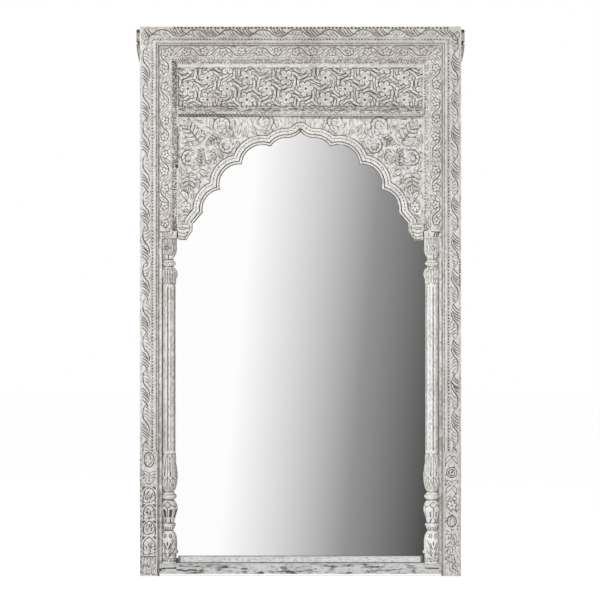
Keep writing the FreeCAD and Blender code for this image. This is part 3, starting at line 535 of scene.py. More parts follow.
def foot_buds(face, rng):
    """Left foot block: a sprig in an oval over a cut leaf, four niches one above the other and two
    rows of petals."""
    middle = FOOT_MIDDLE
    oval = spiral((0, 0), 16.5, 16.5, 0, 1) * (1, 1.5) + (middle, 388)
    face.groove(oval + rng.normal(0, 0.6, oval.shape), 3.8, 2.6)
    face.leaf((middle - 1, 370), (middle + 2, 406), 13, 0.1, 1, barbs=3, height=3.2, cut=2.4)
    for side, _ in HANDS:
        tip = (middle + 11 * side, 384 + 6 * side)
        face.leaf((middle, 374), tip, 8, 0.1, 1, height=3.2, cut=2.2)
    for side, _ in HANDS:
        for step in range(3):
            tip = (middle + 20 * side, 328 + 11 * step)
            face.leaf((middle, 308 + 10 * step), tip, 9, 0.1 * side, 1, cut=2.6)
        face.leaf((middle + 4 * side, 304), (middle + 19 * side, 302), 8, 0, 1, cut=2.4)
    for foot, head in ((241, 298), (188, 240), (135, 186), (68, 133)):
        niche(face, rng, foot, head)
    for at in np.arange(-18, 27, 9) + middle:
        low, high = rng.normal(0, 2.0, (2, 2)) + ((at, 36), (at, 64))
        face.leaf(low, high, 10, 0.1, 1, height=3.2, cut=2.8)
        low, high = rng.normal(0, 2.0, (2, 2)) + ((at, 7), (at + 2, 33))
        face.leaf(low, high, 11, -0.1, 1, height=3.2, cut=2.8)
    face.groove(((10, 66), (53, 66)), 4.0, 2.8)
    for place in np.arange(10, 396, 17.0):
        face.groove(((4.6, place), (4.6, place + rng.uniform(4, 12))), 3.4, 2.8)


def foot_rosette(face, rng):
    """Right foot block: a ringed rosette over crossed leaves, a blossom, a leaf in a ring and a
    thicket of leaves."""
    middle = FOOT_MIDDLE
    for reach in (17, 10):
        ring = spiral((middle, 346), reach, reach, 0, 1)
        face.groove(ring + rng.normal(0, 0.5, ring.shape), 3.4, 2.8)
    face.pit((middle, 346), 3.8, 3.6)
    crossed = (0, 298, 17, 318), (0, 298, 17, 276), (2, 398, 19, 374), (4, 262, 16, 252)
    for side, _ in HANDS:
        for root, foot, tip, head in crossed:
            ends = (middle + side * root, foot), (middle + side * tip, head)
            low, high = rng.normal(0, 1.5, (2, 2)) + ends
            face.leaf(low, high, 9, 0.12 * side, 1, height=3.2, cut=2.6)
    face.flower((middle, 236), 16, 6, 0.3, height=3.2, eye=3.2, cut=2.4)
    oval = spiral((0, 0), 15, 15, 0, 1) * (1, 1.25) + (middle, 183)
    face.groove(oval + rng.normal(0, 0.5, oval.shape), 3.4, 2.8)
    face.leaf((middle, 168), (middle + 2, 199), 14, 0.1, 3, height=3.2, cut=2.2)
    for root in rng.uniform((14, 10), (49, 146), (26, 2)):
        tip = root + rng.uniform((-9, 9), (9, 20))
        face.leaf(root, tip, 8, rng.normal(0, 0.15), 1, height=3.2, cut=2.6)
    for root in rng.uniform((11, 12), (52, 404), (70, 2)):
        if face.raised[face.near(root[None], 4.0)].max() < 0.3:
            face.groove((root, root + rng.uniform((-5, -6), (5, 6))), 3.4, 3.0)


outer_front = marks(1.25, 0, LIP, VINE_BAND, DOT_STRIP, BEAD, BLOCK_EDGE, FILLET, MOULDING)
outer_ring = ring_of(outer_front, OUTER_REAR)
inward = outer_front[:, None]
on_band = (inward > LIP) & (inward < VINE_BAND)
for side, hand in HANDS:
    rng = np.random.default_rng(21 if side < 0 else 22)
    plain = marks(1.55, 0, FOOT_BLOCK, FRAME_TOP - MOULDING - 2)
    z = mitred_post(outer_ring, plain, FRAME_TOP, 40)
    up = z[: len(inward)]
    block = (up < FOOT_BLOCK) & (inward > LIP) & (inward < BLOCK_EDGE)
    face = CarvedFace(inward, up, np.where(on_band | block, VINE_GROUND, 0.0))
    vine(face, rng, 119.0, 1752.0 + 20 * side, FOOT_BLOCK, FRAME_TOP - 40, side, 1.6)
    bead_rows(face, 0.7 * side)
    if side > 0:
        for place in np.arange(968, 1062, 8.6):
            face.pit((5.2, place + rng.normal(0, 1.2)), 2.9, 3.2)
    for tip in ((12, 1812), (30, 1796), (14, 1772)):
        face.leaf((22, 1786), tip, 11, 0.15, 1, height=3.2, cut=2.4)
    face.cut[block] = face.raised[block] = 0
    (foot_buds if side < 0 else foot_rosette)(face, rng)
    rim = block & ((inward < 8.5) | (inward > 54.5) | (up > FOOT_BLOCK - 3))
    face.raised[rim], face.cut[rim] = VINE_GROUND, 0.0
    face.cut[block] *= 0.8
    worked = face.depth(rng)
    drop = np.where(block, 0.0, outer_moulding(inward)) + worked
    shade = face.wash_and_shade(drop)
    # The raised parts of the foot block get a painted highlight, paler lime where the lamp leaves
    # the foot darker.
    shade = np.where(block & (worked < 1.4), np.maximum(shade + PAINTED_HIGHLIGHT, PAINTED_HIGHLIGHT), shade)
    shade[(outer_front > 19) & (outer_front < 36), -3:] = 0.9
    name, node, x = f"carved_stile_{hand}", f"outer_stile_{hand}", side * (HALF_WIDTH - outer_ring)
    carved_piece(name, stile_finish, node, x, z, drop, shade, OUTER_REAR)

# Head rail: a length of the same moulding in the same wood, laid across the top and mitred to both
# stiles, with a row of notches drilled along its upper edge. Its lime is a little browner.
rail_finish = limewash("head_rail", (0.62, 0.595, 0.57), (0.52, 0.475, 0.44), LIME_DARK, "X")
rng = np.random.default_rng(23)
x = mitred_rail(outer_ring, HALF_WIDTH - MOULDING - 2, 640, HALF_WIDTH, 40)
face = CarvedFace(inward, x[: len(inward)], np.where(on_band, VINE_GROUND, 0.0))
vine(face, rng, 111.5, -13.6, -500, 500, 1)
bead_rows(face, 0.2)
for notch in np.arange(-420, 500, 12.3):
    face.pit((4.6 + rng.normal(0, 0.6), notch + rng.normal(0, 1.2)), 3.6, 4.2)
drop = outer_moulding(inward) + face.depth(rng)
shade = face.wash_and_shade(drop) - 0.14 * np.clip((face.b - 150) / 250, 0, 1)
z = FRAME_TOP - outer_ring
carved_piece("carved_head_rail", rail_finish, "outer_head_rail", x, z, drop, shade, OUTER_REAR)

# Side horns: two small lugs of the same wood, sawn to a square block over a nick and a curved tail,
# limewashed and glued to the outer sides of the stiles near the top. They are darker at the top,
# the left one darker than the right, and the dark in the nick is painted shade.
LUG_FOOT, LUG_TAIL, LUG_NICK, LUG_TOP = 1713, 1772, 1779, 1821
z = marks(1.6, LUG_FOOT, LUG_TAIL, LUG_NICK, LUG_TOP)
fall = np.clip((LUG_TAIL - z) / (LUG_TAIL - LUG_FOOT), 0, 1)
reach = np.select([z < LUG_TAIL, z < LUG_NICK], [12 - 9.5 * fall**1.7, 8.0], 12.0)
soft = np.clip(np.minimum(z - LUG_FOOT, LUG_TOP - z) / 2.5, 0, 1) ** 0.5
around = np.array([(0, 20), (0.86, 20), (1, 22), (1, 43), (1, 64), (0.86, 66), (0, 66)])
out = around[:, :1] * (reach * (0.82 + 0.18 * soft))[None]
drop = np.broadcast_to(around[:, 1:], out.shape)
# Darker bands at the top and over the nick, the band at the nick being painted shade; all of it
# strongest on the front face.
stain_and_shade = np.select([z > 1811, z > 1782, z > 1770], [1.1, 0.24, 1.0], 0.3)
fading = np.array((1.0, 1.0, 0.9, 0.4, 0.25, 0.25, 0.25))[:, None]
for side, hand in HANDS:
    shade = stain_and_shade[None] * fading + (0.24 if side < 0 else 0.06) * fading
    x = side * (HALF_WIDTH - 0.3 + out)
    carved_piece(f"side_lug_{hand}", stile_finish, f"side_horn_{hand}", x, z, drop, shade)

# Inner jambs: posts of the same wood set inside the stiles on a flange, limewashed. Above the
# columns they carry a border of blossoms on a winding stem, with a punched cove beside it; below,
# they are cut back to a thin fillet and to the flat seat of the half columns, which hide it.
BORDER = 62.0
BLOSSOM_BAND, COVE_START, COVE_END = 36, 39, 58
BLOSSOM_GROUND = 3.4
JAMB_LINE = 470.0
HEAD_LINE = 1765.0
SEAT_FOOT = 43.0
SEAT_TOP = 1126.0
LEDGE_TOP = 1150.0
SEAT_EDGE = 46.0
SEAT_FILLET = 7.8
REBATE = 40.0
FLANGE = -15.7
# Damage on the left jamb, a bare strip and a split whose dark is painted shade with no cut: from
# how far in, foot, head, coat.
BARE_STRIP, SPLIT = (57, 1376, 1499, 0.62), (54, 1359, 1373, DARKEST)
# The plain rings round the border: place in from the stile, depth, coat.
INNER_AHEAD = ((FLANGE, 38.0, 0.4), (0.0, 38.0, 0.4))
INNER_REAR = (
    (BORDER, 50.0, SIDE_LIME), (REBATE, 50.0, SIDE_LIME), (REBATE, 58.0, SIDE_LIME),
    (28.0, 58.0, SIDE_LIME), (28.0, 75.0, BARE), (FLANGE, 75.0, BARE),
)
border_finish = limewash("border", (0.76, 0.735, 0.71), (0.65, 0.62, 0.585), LIME_DARK)


def border_moulding(u):
    """How far the inner border lies behind the foremost wood, u in from the stile."""
    bend = np.clip((u - COVE_START) / 19, 0, 1)
    cove = 17 + 15 * np.sin(bend * np.pi / 2) ** 1.4
    members = [u < 0, u < BLOSSOM_BAND, u < COVE_START, u < COVE_END]
    return np.select(members, [38.0, 15.0, 19.0, cove], 32.0)


def blossom_stem(face, rng, period, crest, start, stop, bold, faint, crisp):
    """A stem that winds over one blossom and under the next, cut bolder on one slant than on the
    other."""
    half, middle, swing = period / 2, 18.0, 14.0
    for side, low, stem in half_waves(half, crest, start, stop, middle, swing, 1.5, 13):
        face.groove(stem, 3.6, 3.2 if side == bold else faint, 0.8)
        seat = (middle - 0.05 * side * swing, low + rng.normal(0, 1.0))
        face.flower(seat, 13.5, 5, rng.uniform(0, 6), height=3.3, eye=2.6, cut=crisp)
        for end in (-1, 1):
            root = (middle - 0.2 * side * swing, low + end * 0.30 * half)
            tip = (middle - 1.0 * side * swing, low + end * 0.52 * half)
            face.leaf(root, tip, 8.5, bow=0.12 * end * side, veins=1, height=2.8)


def punched_cove(face, rng, bold=1.0):
    """Rows of punched dots in the cove and broken lines along its edges."""
    face.dashes(37.5, 2.6, 1.8, 9.0, 0.66, 0.3)
    face.dashes(57.0, 2.4, 2.4, 10.0, 0.6, 0.9)
    low, high = face.b.min(), face.b.max()
    for row, at in enumerate((43.0, 48.0, 53.0)):
        for place in np.arange(low + 3.5 * (row % 2), high, 7.0):
            if rng.random() < 0.8:
                spot = (at + rng.normal(0, 0.6), place + rng.normal(0, 0.8))
                face.pit(spot, 2.4, bold * (2.0 + rng.uniform(0, 1.8)))


for side, hand in HANDS:
    left = side < 0
    rng = np.random.default_rng(31 if left else 32)
    narrow = SEAT_EDGE / BORDER
    fillet_edge = SEAT_FILLET / narrow
    front = marks(1.25, 0, fillet_edge, BLOSSOM_BAND, COVE_START, COVE_END, BORDER)
    ring = ring_of(front, INNER_REAR, INNER_AHEAD)
    plain = marks(7.0, SEAT_FOOT, SEAT_TOP), marks(1.45, SEAT_TOP, LEDGE_TOP, 1702.0)
    z = mitred_post(ring, np.concatenate(plain), HEAD_LINE, 46)
    rows = slice(len(INNER_AHEAD), len(INNER_AHEAD) + len(front))
    inward, up = front[:, None], z[rows]
    seat, ledge = up < SEAT_TOP, up < LEDGE_TOP
    face = CarvedFace(inward, up, np.where((inward < BLOSSOM_BAND) & ~ledge, BLOSSOM_GROUND, 0.0))
    crest, foot, crisp = 1720.0 - 26 * side, LEDGE_TOP + 16, 1.7 if left else 2.2
    blossom_stem(face, rng, 114.0, crest, foot, 1752, 1, 1.3, crisp)
    punched_cove(face, rng, 1.0 if left else 0.6)
    face.leaf((49, 1153), (49, 1179), 13, veins=1, height=0.0, cut=3.2)
    face.cut[ledge] = 0
    for level, depth in ((1146.0, 2.4), (1129.5, 1.6)):
        face.groove(((2, level), (34, level + 1.5)), 3.0, depth)
    if left:
        face.flower((19, 1138), 10, 5, 0.4, height=0.0, eye=2.4, cut=2.4)
    else:
        for root in (13, 19, 26):
            stroke = (root, 1130), (root - 2, 1138), (root - 6, 1147)
            face.groove(stroke, 4.4, 4.2, 0.3)
    face.groove(((41, 1131), (44, 1147)), 3.0, 2.0, 0.3)
    worked = np.where(seat, 0, face.depth(rng))
    plain_face = np.where(ledge & (inward < COVE_END), 20.0, border_moulding(inward))
    on_fillet = inward < fillet_edge
    drop = np.where(seat, np.where(on_fillet, 15.0, 38.0), plain_face) + worked
    # The cove gets painted shade, most of all at the top and more on the left jamb, whose ledge by
    # the cove gets some too; the left one also has a bare strip and a split painted dark.
    shade = face.wash_and_shade(drop)
    shade = shade + np.where((inward > 40) & ~seat, 0.14 if left else 0.04, 0)
    shade = shade + np.where((inward > 44) & (up > 1560), 0.26 if left else 0.08, 0)
    if left:
        for edge, low, high, coat_left in BARE_STRIP, SPLIT:
            shade[(inward > edge) & (up > low) & (up < high)] = coat_left
        shade = shade + np.where((inward > 50) & ledge, 0.12, 0)
    # The fillet beside the column gets painted shade, more below 620 mm; the seat behind the column
    # is left clean.
    seat_shade = np.where(on_fillet, np.where(up > 620, 0.16, 0.34), -0.3)
    shade = np.where(seat, seat_shade, shade)
    deeper = REBATE + (ring - REBATE) * (SEAT_EDGE - REBATE) / (BORDER - REBATE)
    narrowed = np.where(ring > REBATE + 0.5, deeper, ring)
    narrowed[rows] = ring[rows] * narrow
    x = side * (JAMB_LINE - np.where(z < SEAT_TOP, narrowed, ring))
    name, node = f"border_jamb_{hand}", f"inner_jamb_{hand}"
    carved_piece(name, border_finish, node, x, z, drop, shade, INNER_REAR, INNER_AHEAD)

# Inner head border: a length of the same border in the same wood, carved with the blossom stem and
# mitred to the jambs. It holds the top of the frieze board in its rebate.
head_finish = limewash("head_border", (0.67, 0.645, 0.615), (0.56, 0.52, 0.485), LIME_DARK, "X")
rng = np.random.default_rng(33)
front = marks(1.25, 0, BLOSSOM_BAND, COVE_START, COVE_END, BORDER)
ring = ring_of(front, INNER_REAR, INNER_AHEAD)
x = mitred_rail(ring, 407.0, 580, JAMB_LINE, 46)
inward = front[:, None]
along = x[len(INNER_AHEAD) : len(INNER_AHEAD) + len(front)]
face = CarvedFace(inward, along, np.where(inward < BLOSSOM_BAND, BLOSSOM_GROUND, 0.0))
blossom_stem(face, rng, 121.0, -379.0, -452, 452, -1, 1.5, 1.9)
punched_cove(face, rng)
drop = border_moulding(inward) + face.depth(rng)
shade, z = face.wash_and_shade(drop), HEAD_LINE - ring
node = "inner_head_border"
carved_piece("border_head", head_finish, node, x, z, drop, shade, INNER_REAR, INNER_AHEAD)

# Frieze: one board of the same wood, carved with six-petal flowers in a lattice of three-armed
# stars, whose pointed bars lie against each other like a pinwheel, and limewashed. It drops into
# the rebate behind the head border.
BOARD_EDGE = 407.7
FRIEZE_FOOT, FRIEZE_LEDGE, FRIEZE_TOP = 1568, 1695, 1703
COLUMN_STEP = 65.57
FLOWER_STEP = 73.4
FIRST_FLOWER = (-375.6, 1624.8)
EDGE_LIME = 0.2
FRIEZE_REAR = (
    (1703.0, 50.0, EDGE_LIME), (1723.0, 50.0, EDGE_LIME), (1723.0, 58.0, BARE),
    (1551.0, 58.0, BARE), (1551.0, 50.0, EDGE_LIME), (1568.0, 50.0, EDGE_LIME),
)
frieze_finish = limewash("frieze", (0.75, 0.725, 0.70), (0.64, 0.61, 0.575), LIME_DARK, "X")


def ray_of(angle):
    return np.array((math.cos(angle), math.sin(angle)))


def star_bar(face, root, angle, length, width):
    """One blade of a star: broad at its root, drawn out to a point, with a cut on each side."""
    lean = ray_of(angle)
    way = np.linspace(0, 1, 6)[:, None]
    swerve = np.array((lean[1], -lean[0])) * 3.0 * np.sin(np.pi * way)
    spots, off, way = face.follow(np.array(root) + lean * length * way + swerve, width)
    point = np.clip((1 - way) / 0.15, 0, 1) ** 0.5
    half = 0.5 * width * (1 - 0.55 * way) * point + 1e-6
    gap = np.abs(off)
    face.build(spots, np.where(gap < half, 3.4 - 0.8 * gap / half, 0))
    rim = gap - half
    edge = 2.5 * np.clip(1 - np.abs(rim - 1.3) / 1.6, 0, None)
    face.dig(spots, np.where(rim > 0, edge, 0))
    vein = np.clip(1 - gap / 1.4, 0, None) * np.clip((0.8 - way) / 0.2, 0, 1)
    vein = vein * np.clip((way - 0.12) / 0.1, 0, 1)
    face.dig(spots, np.where(gap < half, 1.5 * vein, 0))


rng = np.random.default_rng(41)
front = marks(1.2, FRIEZE_FOOT, FRIEZE_LEDGE, FRIEZE_TOP)
x_line = np.linspace(-BOARD_EDGE, BOARD_EDGE, 640)
field = front < FRIEZE_LEDGE
face = CarvedFace(x_line[None, :], front[:, None], np.where(field, 3.0, 0.0)[:, None])
for column in range(-1, 15):
    middle = FIRST_FLOWER[0] + COLUMN_STEP * column
    foot = FIRST_FLOWER[1] - FLOWER_STEP * (1.5 if column % 2 == 0 else 2.0)
    for row in range(6):
        level = foot + FLOWER_STEP * row
        for shift, turn in ((-COLUMN_STEP / 3, 0), (COLUMN_STEP / 3, 180)):
            for arm in (26, 146, 266):
                lean = math.radians(arm + turn + rng.normal(0, 4.0))
                star_bar(face, (middle + shift, level), lean, 38.0 + rng.normal(0, 3.5), 10.5)
for column in range(-1, 14):
    middle = FIRST_FLOWER[0] + COLUMN_STEP * column
    foot = FIRST_FLOWER[1] - FLOWER_STEP * (1.0 if column % 2 == 0 else 1.5)
    for row in range(5):
        centre = (middle, foot + FLOWER_STEP * row)
        spots = face.near(np.array([centre]), 26.5)
        inside = np.hypot(face.a[spots] - centre[0], face.b[spots] - centre[1]) < 26.0
        face.cut[spots] = np.where(inside, 0, face.cut[spots])
        face.raised[spots] = np.where(inside, 0, face.raised[spots])
        turn = math.radians(30) + rng.normal(0, 0.10)
        face.flower(centre, 26.4, 6, turn, height=3.4, eye=4.4, cut=1.8)
        for petal in range(6):
            lean = turn + math.radians(60 * petal)
            face.pit(centre + 21 * ray_of(lean), 2.2, 2.2)
            vein = ray_of(lean + math.radians(30))
            face.groove((centre + 9 * vein, centre + 20 * vein), 2.6, 1.9, 0.4)
            if rng.random() < 0.4:
                aside = np.array((-vein[1], vein[0])) * rng.choice((-4.5, 4.5))
                stroke = centre + 13 * vein + aside, centre + 22 * vein + aside
                face.groove(stroke, 3.0, 2.4, 0.4)
face.cut[~field] = face.raised[~field] = 0
face.groove(((-406, 1697.2), (406, 1697.2)), 2.4, 1.4)
drop = np.where(field, 38.0, 33.0)[:, None] + face.depth(rng, 0.5)
shade, z = face.wash_and_shade(drop), ring_of(front, FRIEZE_REAR)
carved_piece(
    "lattice_frieze", frieze_finish, "frieze_panel", x_line, z, drop, shade, FRIEZE_REAR
)

# Transom: a moulded rail of the same wood, with a cove, a round and a rope line cut along its foot;
# limewashed, the rope darkest on the left. It is tenoned between the jambs under the frieze.
TRANSOM_FOOT, ROUND_FOOT, COVE_FOOT = 1531, 1539, 1549
ROPE_MIDDLE, ROPE_TOP, ROPE_PITCH = 1535, 1540.4, 11.2
TRANSOM_REAR = ((1568.0, 49.8, EDGE_LIME), (1531.0, 49.8, EDGE_LIME))
transom_finish = limewash("transom", (0.62, 0.60, 0.575), (0.51, 0.48, 0.45), LIME_DARK, "X")
rng = np.random.default_rng(51)
front = marks(1.1, TRANSOM_FOOT, ROUND_FOOT, COVE_FOOT, FRIEZE_FOOT)
swell = np.select(
    [front < ROUND_FOOT, front < COVE_FOOT],
    [
        23 - 3.6 * np.sqrt(np.clip(1 - ((front - ROPE_MIDDLE) / 4) ** 2, 0, None)),
        18 - 2.2 * np.sqrt(np.clip(1 - ((front - 1544) / 5) ** 2, 0, None)),
    ],
    18 + 19.7 * np.clip((front - COVE_FOOT) / 19, 0, 1) ** 0.75,
)
x_line = np.linspace(-407.9, 407.9, 600)
face = CarvedFace(front[:, None], x_line[None, :])
lay = (face.b + 1.3 * (face.a - ROPE_MIDDLE)) / ROPE_PITCH + 0.3 * np.sin(face.b / 71.0)
twist = np.abs(2 * (lay % 1) - 1)
on_rope = (face.a > TRANSOM_FOOT) & (face.a < ROPE_TOP)
uneven = 0.72 + 0.12 * np.sin(face.b / 53.0) + 0.16 * np.clip((-face.b - 150) / 150, -1, 1)
strength = 3.4 * uneven
strength = strength * np.interp(face.b, (-400, -270, -150, -20), (1.6, 1.5, 1.0, 0.6))
opening = np.interp(face.b, (-330, -60), (0.66, 0.44))
face.cut = np.where(on_rope, strength * np.clip((opening - twist) / 0.2, 0, 1), 0)
face.dashes(1532.2, 3.0, 3.4, 70.0, 1.25, 0.5)
face.dashes(1543.4, 3.2, 3.0, 24.0, 0.8, 0.4)
face.dashes(1549.0, 2.8, 1.9, 16.0, 0.72, 0.2)
face.dashes(1567.0, 3.2, 2.8, 60.0, 1.3, 0.6)
for place in np.arange(-402, 404, 7.6):
    if rng.random() < 0.78:
        fall = rng.uniform(2.0, 6.5)
        nick = (1567.5, place), (1567.5 - fall, place + rng.uniform(-1, 4))
        face.groove(nick, 4.4, rng.uniform(1.6, 3.2))
for place in rng.uniform(-404, 400, 260):
    level = rng.uniform(1546, 1562)
    scratch = (level, place), (level - rng.uniform(-2, 3), place + rng.uniform(5, 14))
    face.groove(scratch, 2.4, rng.uniform(1.2, 2.8))
drop = swell[:, None] + face.depth(rng)
# The band over the round is a little darker and the rope's cuts darker on the left; the uncut
# crests of the round and of the rope get a painted highlight.
dull = np.where((face.a > 1548) & (face.a < 1562), 0.12, 0.0)
left_rope_dark = np.interp(face.b, (-300, -60), (1.0, 0.2))
dull = dull + np.where(on_rope & (face.cut > 1.2), left_rope_dark, 0.0)
crest = np.where((face.cut < 0.4) & (face.a < 1548), np.where(on_rope, 0.95, 0.7), 0.0)
shade = np.maximum(face.wash_and_shade(drop) + dull - crest, PAINTED_HIGHLIGHT)
z = ring_of(front, TRANSOM_REAR)
carved_piece(
    "rope_transom", transom_finish, "transom_rail", x_line, z, drop, shade, TRANSOM_REAR
)

# Spandrels: two boards of the same wood, sawn to a cusped arch, tongued into the transom and
# doweled to the jambs. A stepped moulding follows every cusp; the field above it is carved with
# scrolls, palmettes, leaves and a blossom, then limewashed and wiped cleaner than the stiles.
SPRING = 1177.0
HALF_SPAN = 356.0
ARCH_RISE = 304.0
# The points of the cusps, as shares of span and rise, and how far each foil between them bulges.
CUSPS = (
    (1, 0), (0.916, 0.117), (0.754, 0.365), (0.551, 0.643), (0.28, 0.839), (0.118, 0.934), (0, 1),
)
FOILS = (0, 0.22, 0.265, 0.26, 0.145, -0.09)
# The steps of the moulding: distance from the arch, places across it, depth.
STEPS = (
    (2.4, 3, 33.0), (8.0, 5, 30.0), (11.0, 4, 36.5), (20.0, 7, 32.0), (23.0, 4, 32.6),
    (30.0, 6, 32.4), (33.0, 4, 37.0),
)
FIELD, FIELD_DEPTH, FIELD_PLACES = len(STEPS), 35.0, 104
FIELD_GROUND = 3.0
# Scrolls: place across, height, reach, first angle, hand.
SCROLLS = (
    (-260, 1502, 30, 200, -1), (-112, 1513, 26, 170, -1), (-245, 1434, 27, 120, 1),
    (-371, 1392, 28, 60, 1), (-295, 1397, 16, 120, -1),
)
FIELD_DOTS = (
    (-357, 1362), (-378, 1331), (-335, 1312), (-337, 1322), (-399, 1500), (-286, 1522),
    (-390, 1214),
)
BOARD_BACK = ((None, 49.7, EDGE_LIME), (None, 49.7, EDGE_LIME))
WIPED_DARK = (0.18, 0.165, 0.15)
spandrel_finish = limewash("spandrel", (0.77, 0.755, 0.735), (0.67, 0.64, 0.615), WIPED_DARK)


def arch_line(pitch):
    """The left half of the arch from its spring to its top, foil by foil."""
    corner = np.array([(-HALF_SPAN * a, SPRING + ARCH_RISE * b) for a, b in CUSPS])
    parts = []
    for start, end, bulge in zip(corner[:-1], corner[1:], FOILS):
        chord = end - start
        count = max(4, int(np.hypot(*chord) * (1 + 2.4 * bulge**2) / pitch))
        if bulge == 0:
            run = start + np.linspace(0, 1, count)[:, None] * chord
        else:
            turn = 4 * math.atan(2 * bulge)
            radius = np.hypot(*chord) / (2 * math.sin(turn / 2))
            normal = np.array((-chord[1], chord[0])) / np.hypot(*chord)
            centre = (start + end) / 2 - normal * radius * math.cos(turn / 2)
            angle = math.atan2(*(start - centre)[::-1]) - np.linspace(0, 1, count) * turn
            run = centre + abs(radius) * np.stack((np.cos(angle), np.sin(angle)), -1)
        parts.append(run if not parts else run[1:])
    return np.concatenate(parts)


def palmette(face, root, tip, spread, lobes):
    """A leaf of paired lobes along a rib, widest near its foot."""
    root, rib = np.array(root, float), np.subtract(tip, root).astype(float)
    aside = np.array((-rib[1], rib[0])) / np.hypot(*rib)
    for lobe in range(lobes):
        share = (lobe + 0.2) / lobes
        seat, reach = root + 0.85 * share * rib, spread * (1 - 0.6 * share)
        for hand in (-1, 1):
            end = seat + reach * hand * aside + 0.26 * rib
            face.leaf(seat, end, 0.46 * reach, 0.16 * hand, 1, height=3.6, cut=2.4)
    face.leaf(root + 0.6 * rib, root + 1.04 * rib, 0.36 * spread, 0, 1, height=4.0, cut=2.4)
    face.groove((root, root + 0.9 * rib), 2.8, 2.8)


def scroll(face, across, level, reach, start, hand):
    """An open scroll with four leaves on its back, nicks across its rib and a bud inside."""
    centre = np.array((across, level), float)
    face.rib(spiral(centre, reach - 3, 0.55 * reach, start, 0.85, hand), 8, 3.2)
    for lobe in range(4):
        turn, bend = math.radians(start + hand * (20 + 68 * lobe)), math.radians(42 * hand)
        root, tip = centre + ray_of(turn) * reach, centre + ray_of(turn + bend) * reach * 1.42
        face.leaf(root, tip, 0.4 * reach, -0.2 * hand, 1, height=3.2, cut=2.3)
    face.groove(spiral(centre, reach + 2, reach - 6, start, 0.62, hand), 4.0, 3.2, 0.45)
    eye = spiral(centre, 0.58 * reach, 0.3 * reach, start + 40 * hand, 0.55, hand)
    face.groove(eye, 3.0, 2.2, 0.3)
    for nick in range(7):
        turn = math.radians(start + hand * (25 + 42 * nick))
        root = centre + 0.52 * reach * ray_of(turn)
        head = centre + 0.92 * reach * ray_of(turn + 0.5 * hand)
        face.groove((root, head), 3.2, 2.4, 0.3)
    lean = ray_of(math.radians(start)) * 0.34 * reach
    face.leaf(centre - lean, centre + lean, 0.5 * reach, 0.2, 1, height=3.2, cut=2.4)


def spandrel_field(face):
    """The leaves and scrolls of the left spandrel, laid out on the board."""
    palmette(face, (-338, 1446), (-388, 1516), 33, 5)
    face.leaf((-345, 1440), (-398, 1444), 18, bow=-0.2, veins=2, height=3.6)
    for layout in SCROLLS:
        scroll(face, *layout)
    palmette(face, (-274, 1464), (-314, 1440), 16, 4)
    palmette(face, (-331, 1370), (-331, 1424), 15, 5)
    face.leaf((-220, 1480), (-190, 1466), 18, bow=-0.15, veins=1, barbs=5, height=3.6)
    face.leaf((-337, 1349), (-310, 1332), 17, bow=0.1, veins=1, height=3.8, cut=2.8)
    palmette(face, (-371, 1340), (-373, 1278), 28, 4)
    face.leaf((-398, 1280), (-380, 1252), 16, bow=0.2, veins=1, height=3.6, cut=2.4)
    face.flower((-382, 1232), 17, 6, height=4, eye=2.8, cut=2.0)
    face.leaf((-400, 1184), (-374, 1200), 14, bow=0.1, veins=1, height=3.4)
    for spot in FIELD_DOTS:
        face.pit(spot, 3.2, 3.4)


def curling_strokes(face, rng, tries):
    """Thin leaf strokes that curl round the nearest scroll, let into whatever ground is left."""
    centres = [layout[:2] for layout in SCROLLS] + [(-430.0, 1290.0), (-330.0, 1450.0)]
    centres = np.array(centres, float)
    for place in rng.uniform((-404, 1180), (0, 1528), (tries, 2)):
        spots = face.near(place[None], 4.5)
        if len(spots[0]) < 8 or face.raised[spots].max() > 0.3:
            continue
        away = place - centres
        reach = np.hypot(away[:, 0], away[:, 1])
        near = reach.argmin()
        first = math.degrees(math.atan2(away[near, 1], away[near, 0]))
        turns = rng.uniform(14, 26) / reach[near] / (2 * math.pi)
        outer, hand = reach[near] + rng.uniform(2, 9), rng.choice((-1, 1))
        path = spiral(centres[near], reach[near], outer, first, turns, hand)
        face.rib(path, 7.0, 3.0)
        face.groove(path, 4.0, 2.9, 0.4)


# The board is measured out in rays from the arch to its outer edges; along each ray the steps of
# the moulding lie at their own distances from the arch.
arch = arch_line(1.7)
stride = np.hypot(*np.diff(arch, axis=0).T)
walked = np.concatenate(([0], np.cumsum(stride)))
share = walked / walked[-1]
up_edge = np.stack(
    (np.full_like(share, -BOARD_EDGE), SPRING + (TRANSOM_FOOT - SPRING) * share / 0.5), -1
)
top_edge = np.stack(
    (-BOARD_EDGE * (1 - (share - 0.5) / 0.5), np.full_like(share, TRANSOM_FOOT)), -1
)
ray = np.where((share < 0.5)[:, None], up_edge, top_edge) - arch
trial = np.linspace(0, 1, 90)
probe = arch[:, None] + trial[None, :, None] * ray[:, None]
gap = np.full(probe.shape[:2], 1e9)
for low in range(0, len(arch), 40):
    near = arch[low : low + 40]
    gap = np.minimum(gap, np.linalg.norm(probe[:, :, None] - near[None, None], axis=3).min(2))
gap = np.maximum.accumulate(gap, 1) + trial * 1e-6
held = np.array([[np.interp(step, g, trial) for step, _, _ in STEPS] for g in gap])
bounds = np.concatenate((np.zeros((len(arch), 1)), held), 1)
shares, drops, zones = [], [], []
for zone, (_, count, level) in enumerate(STEPS):
    low, high = bounds[:, zone : zone + 1], bounds[:, zone + 1 : zone + 2]
    shares.append(low + np.linspace(0.02, 0.98, count) * (high - low))
    drops += [level] * count
    zones += [zone] * count
shares.append(bounds[:, -1:] + np.linspace(0.004, 1, FIELD_PLACES) * (1 - bounds[:, -1:]))
drops = np.array(drops + [FIELD_DEPTH] * FIELD_PLACES)[:, None]
zones = np.array(zones + [FIELD] * FIELD_PLACES)
share_grid = np.clip(np.concatenate(shares, 1), 0, 1).T
share_grid[0] = 0
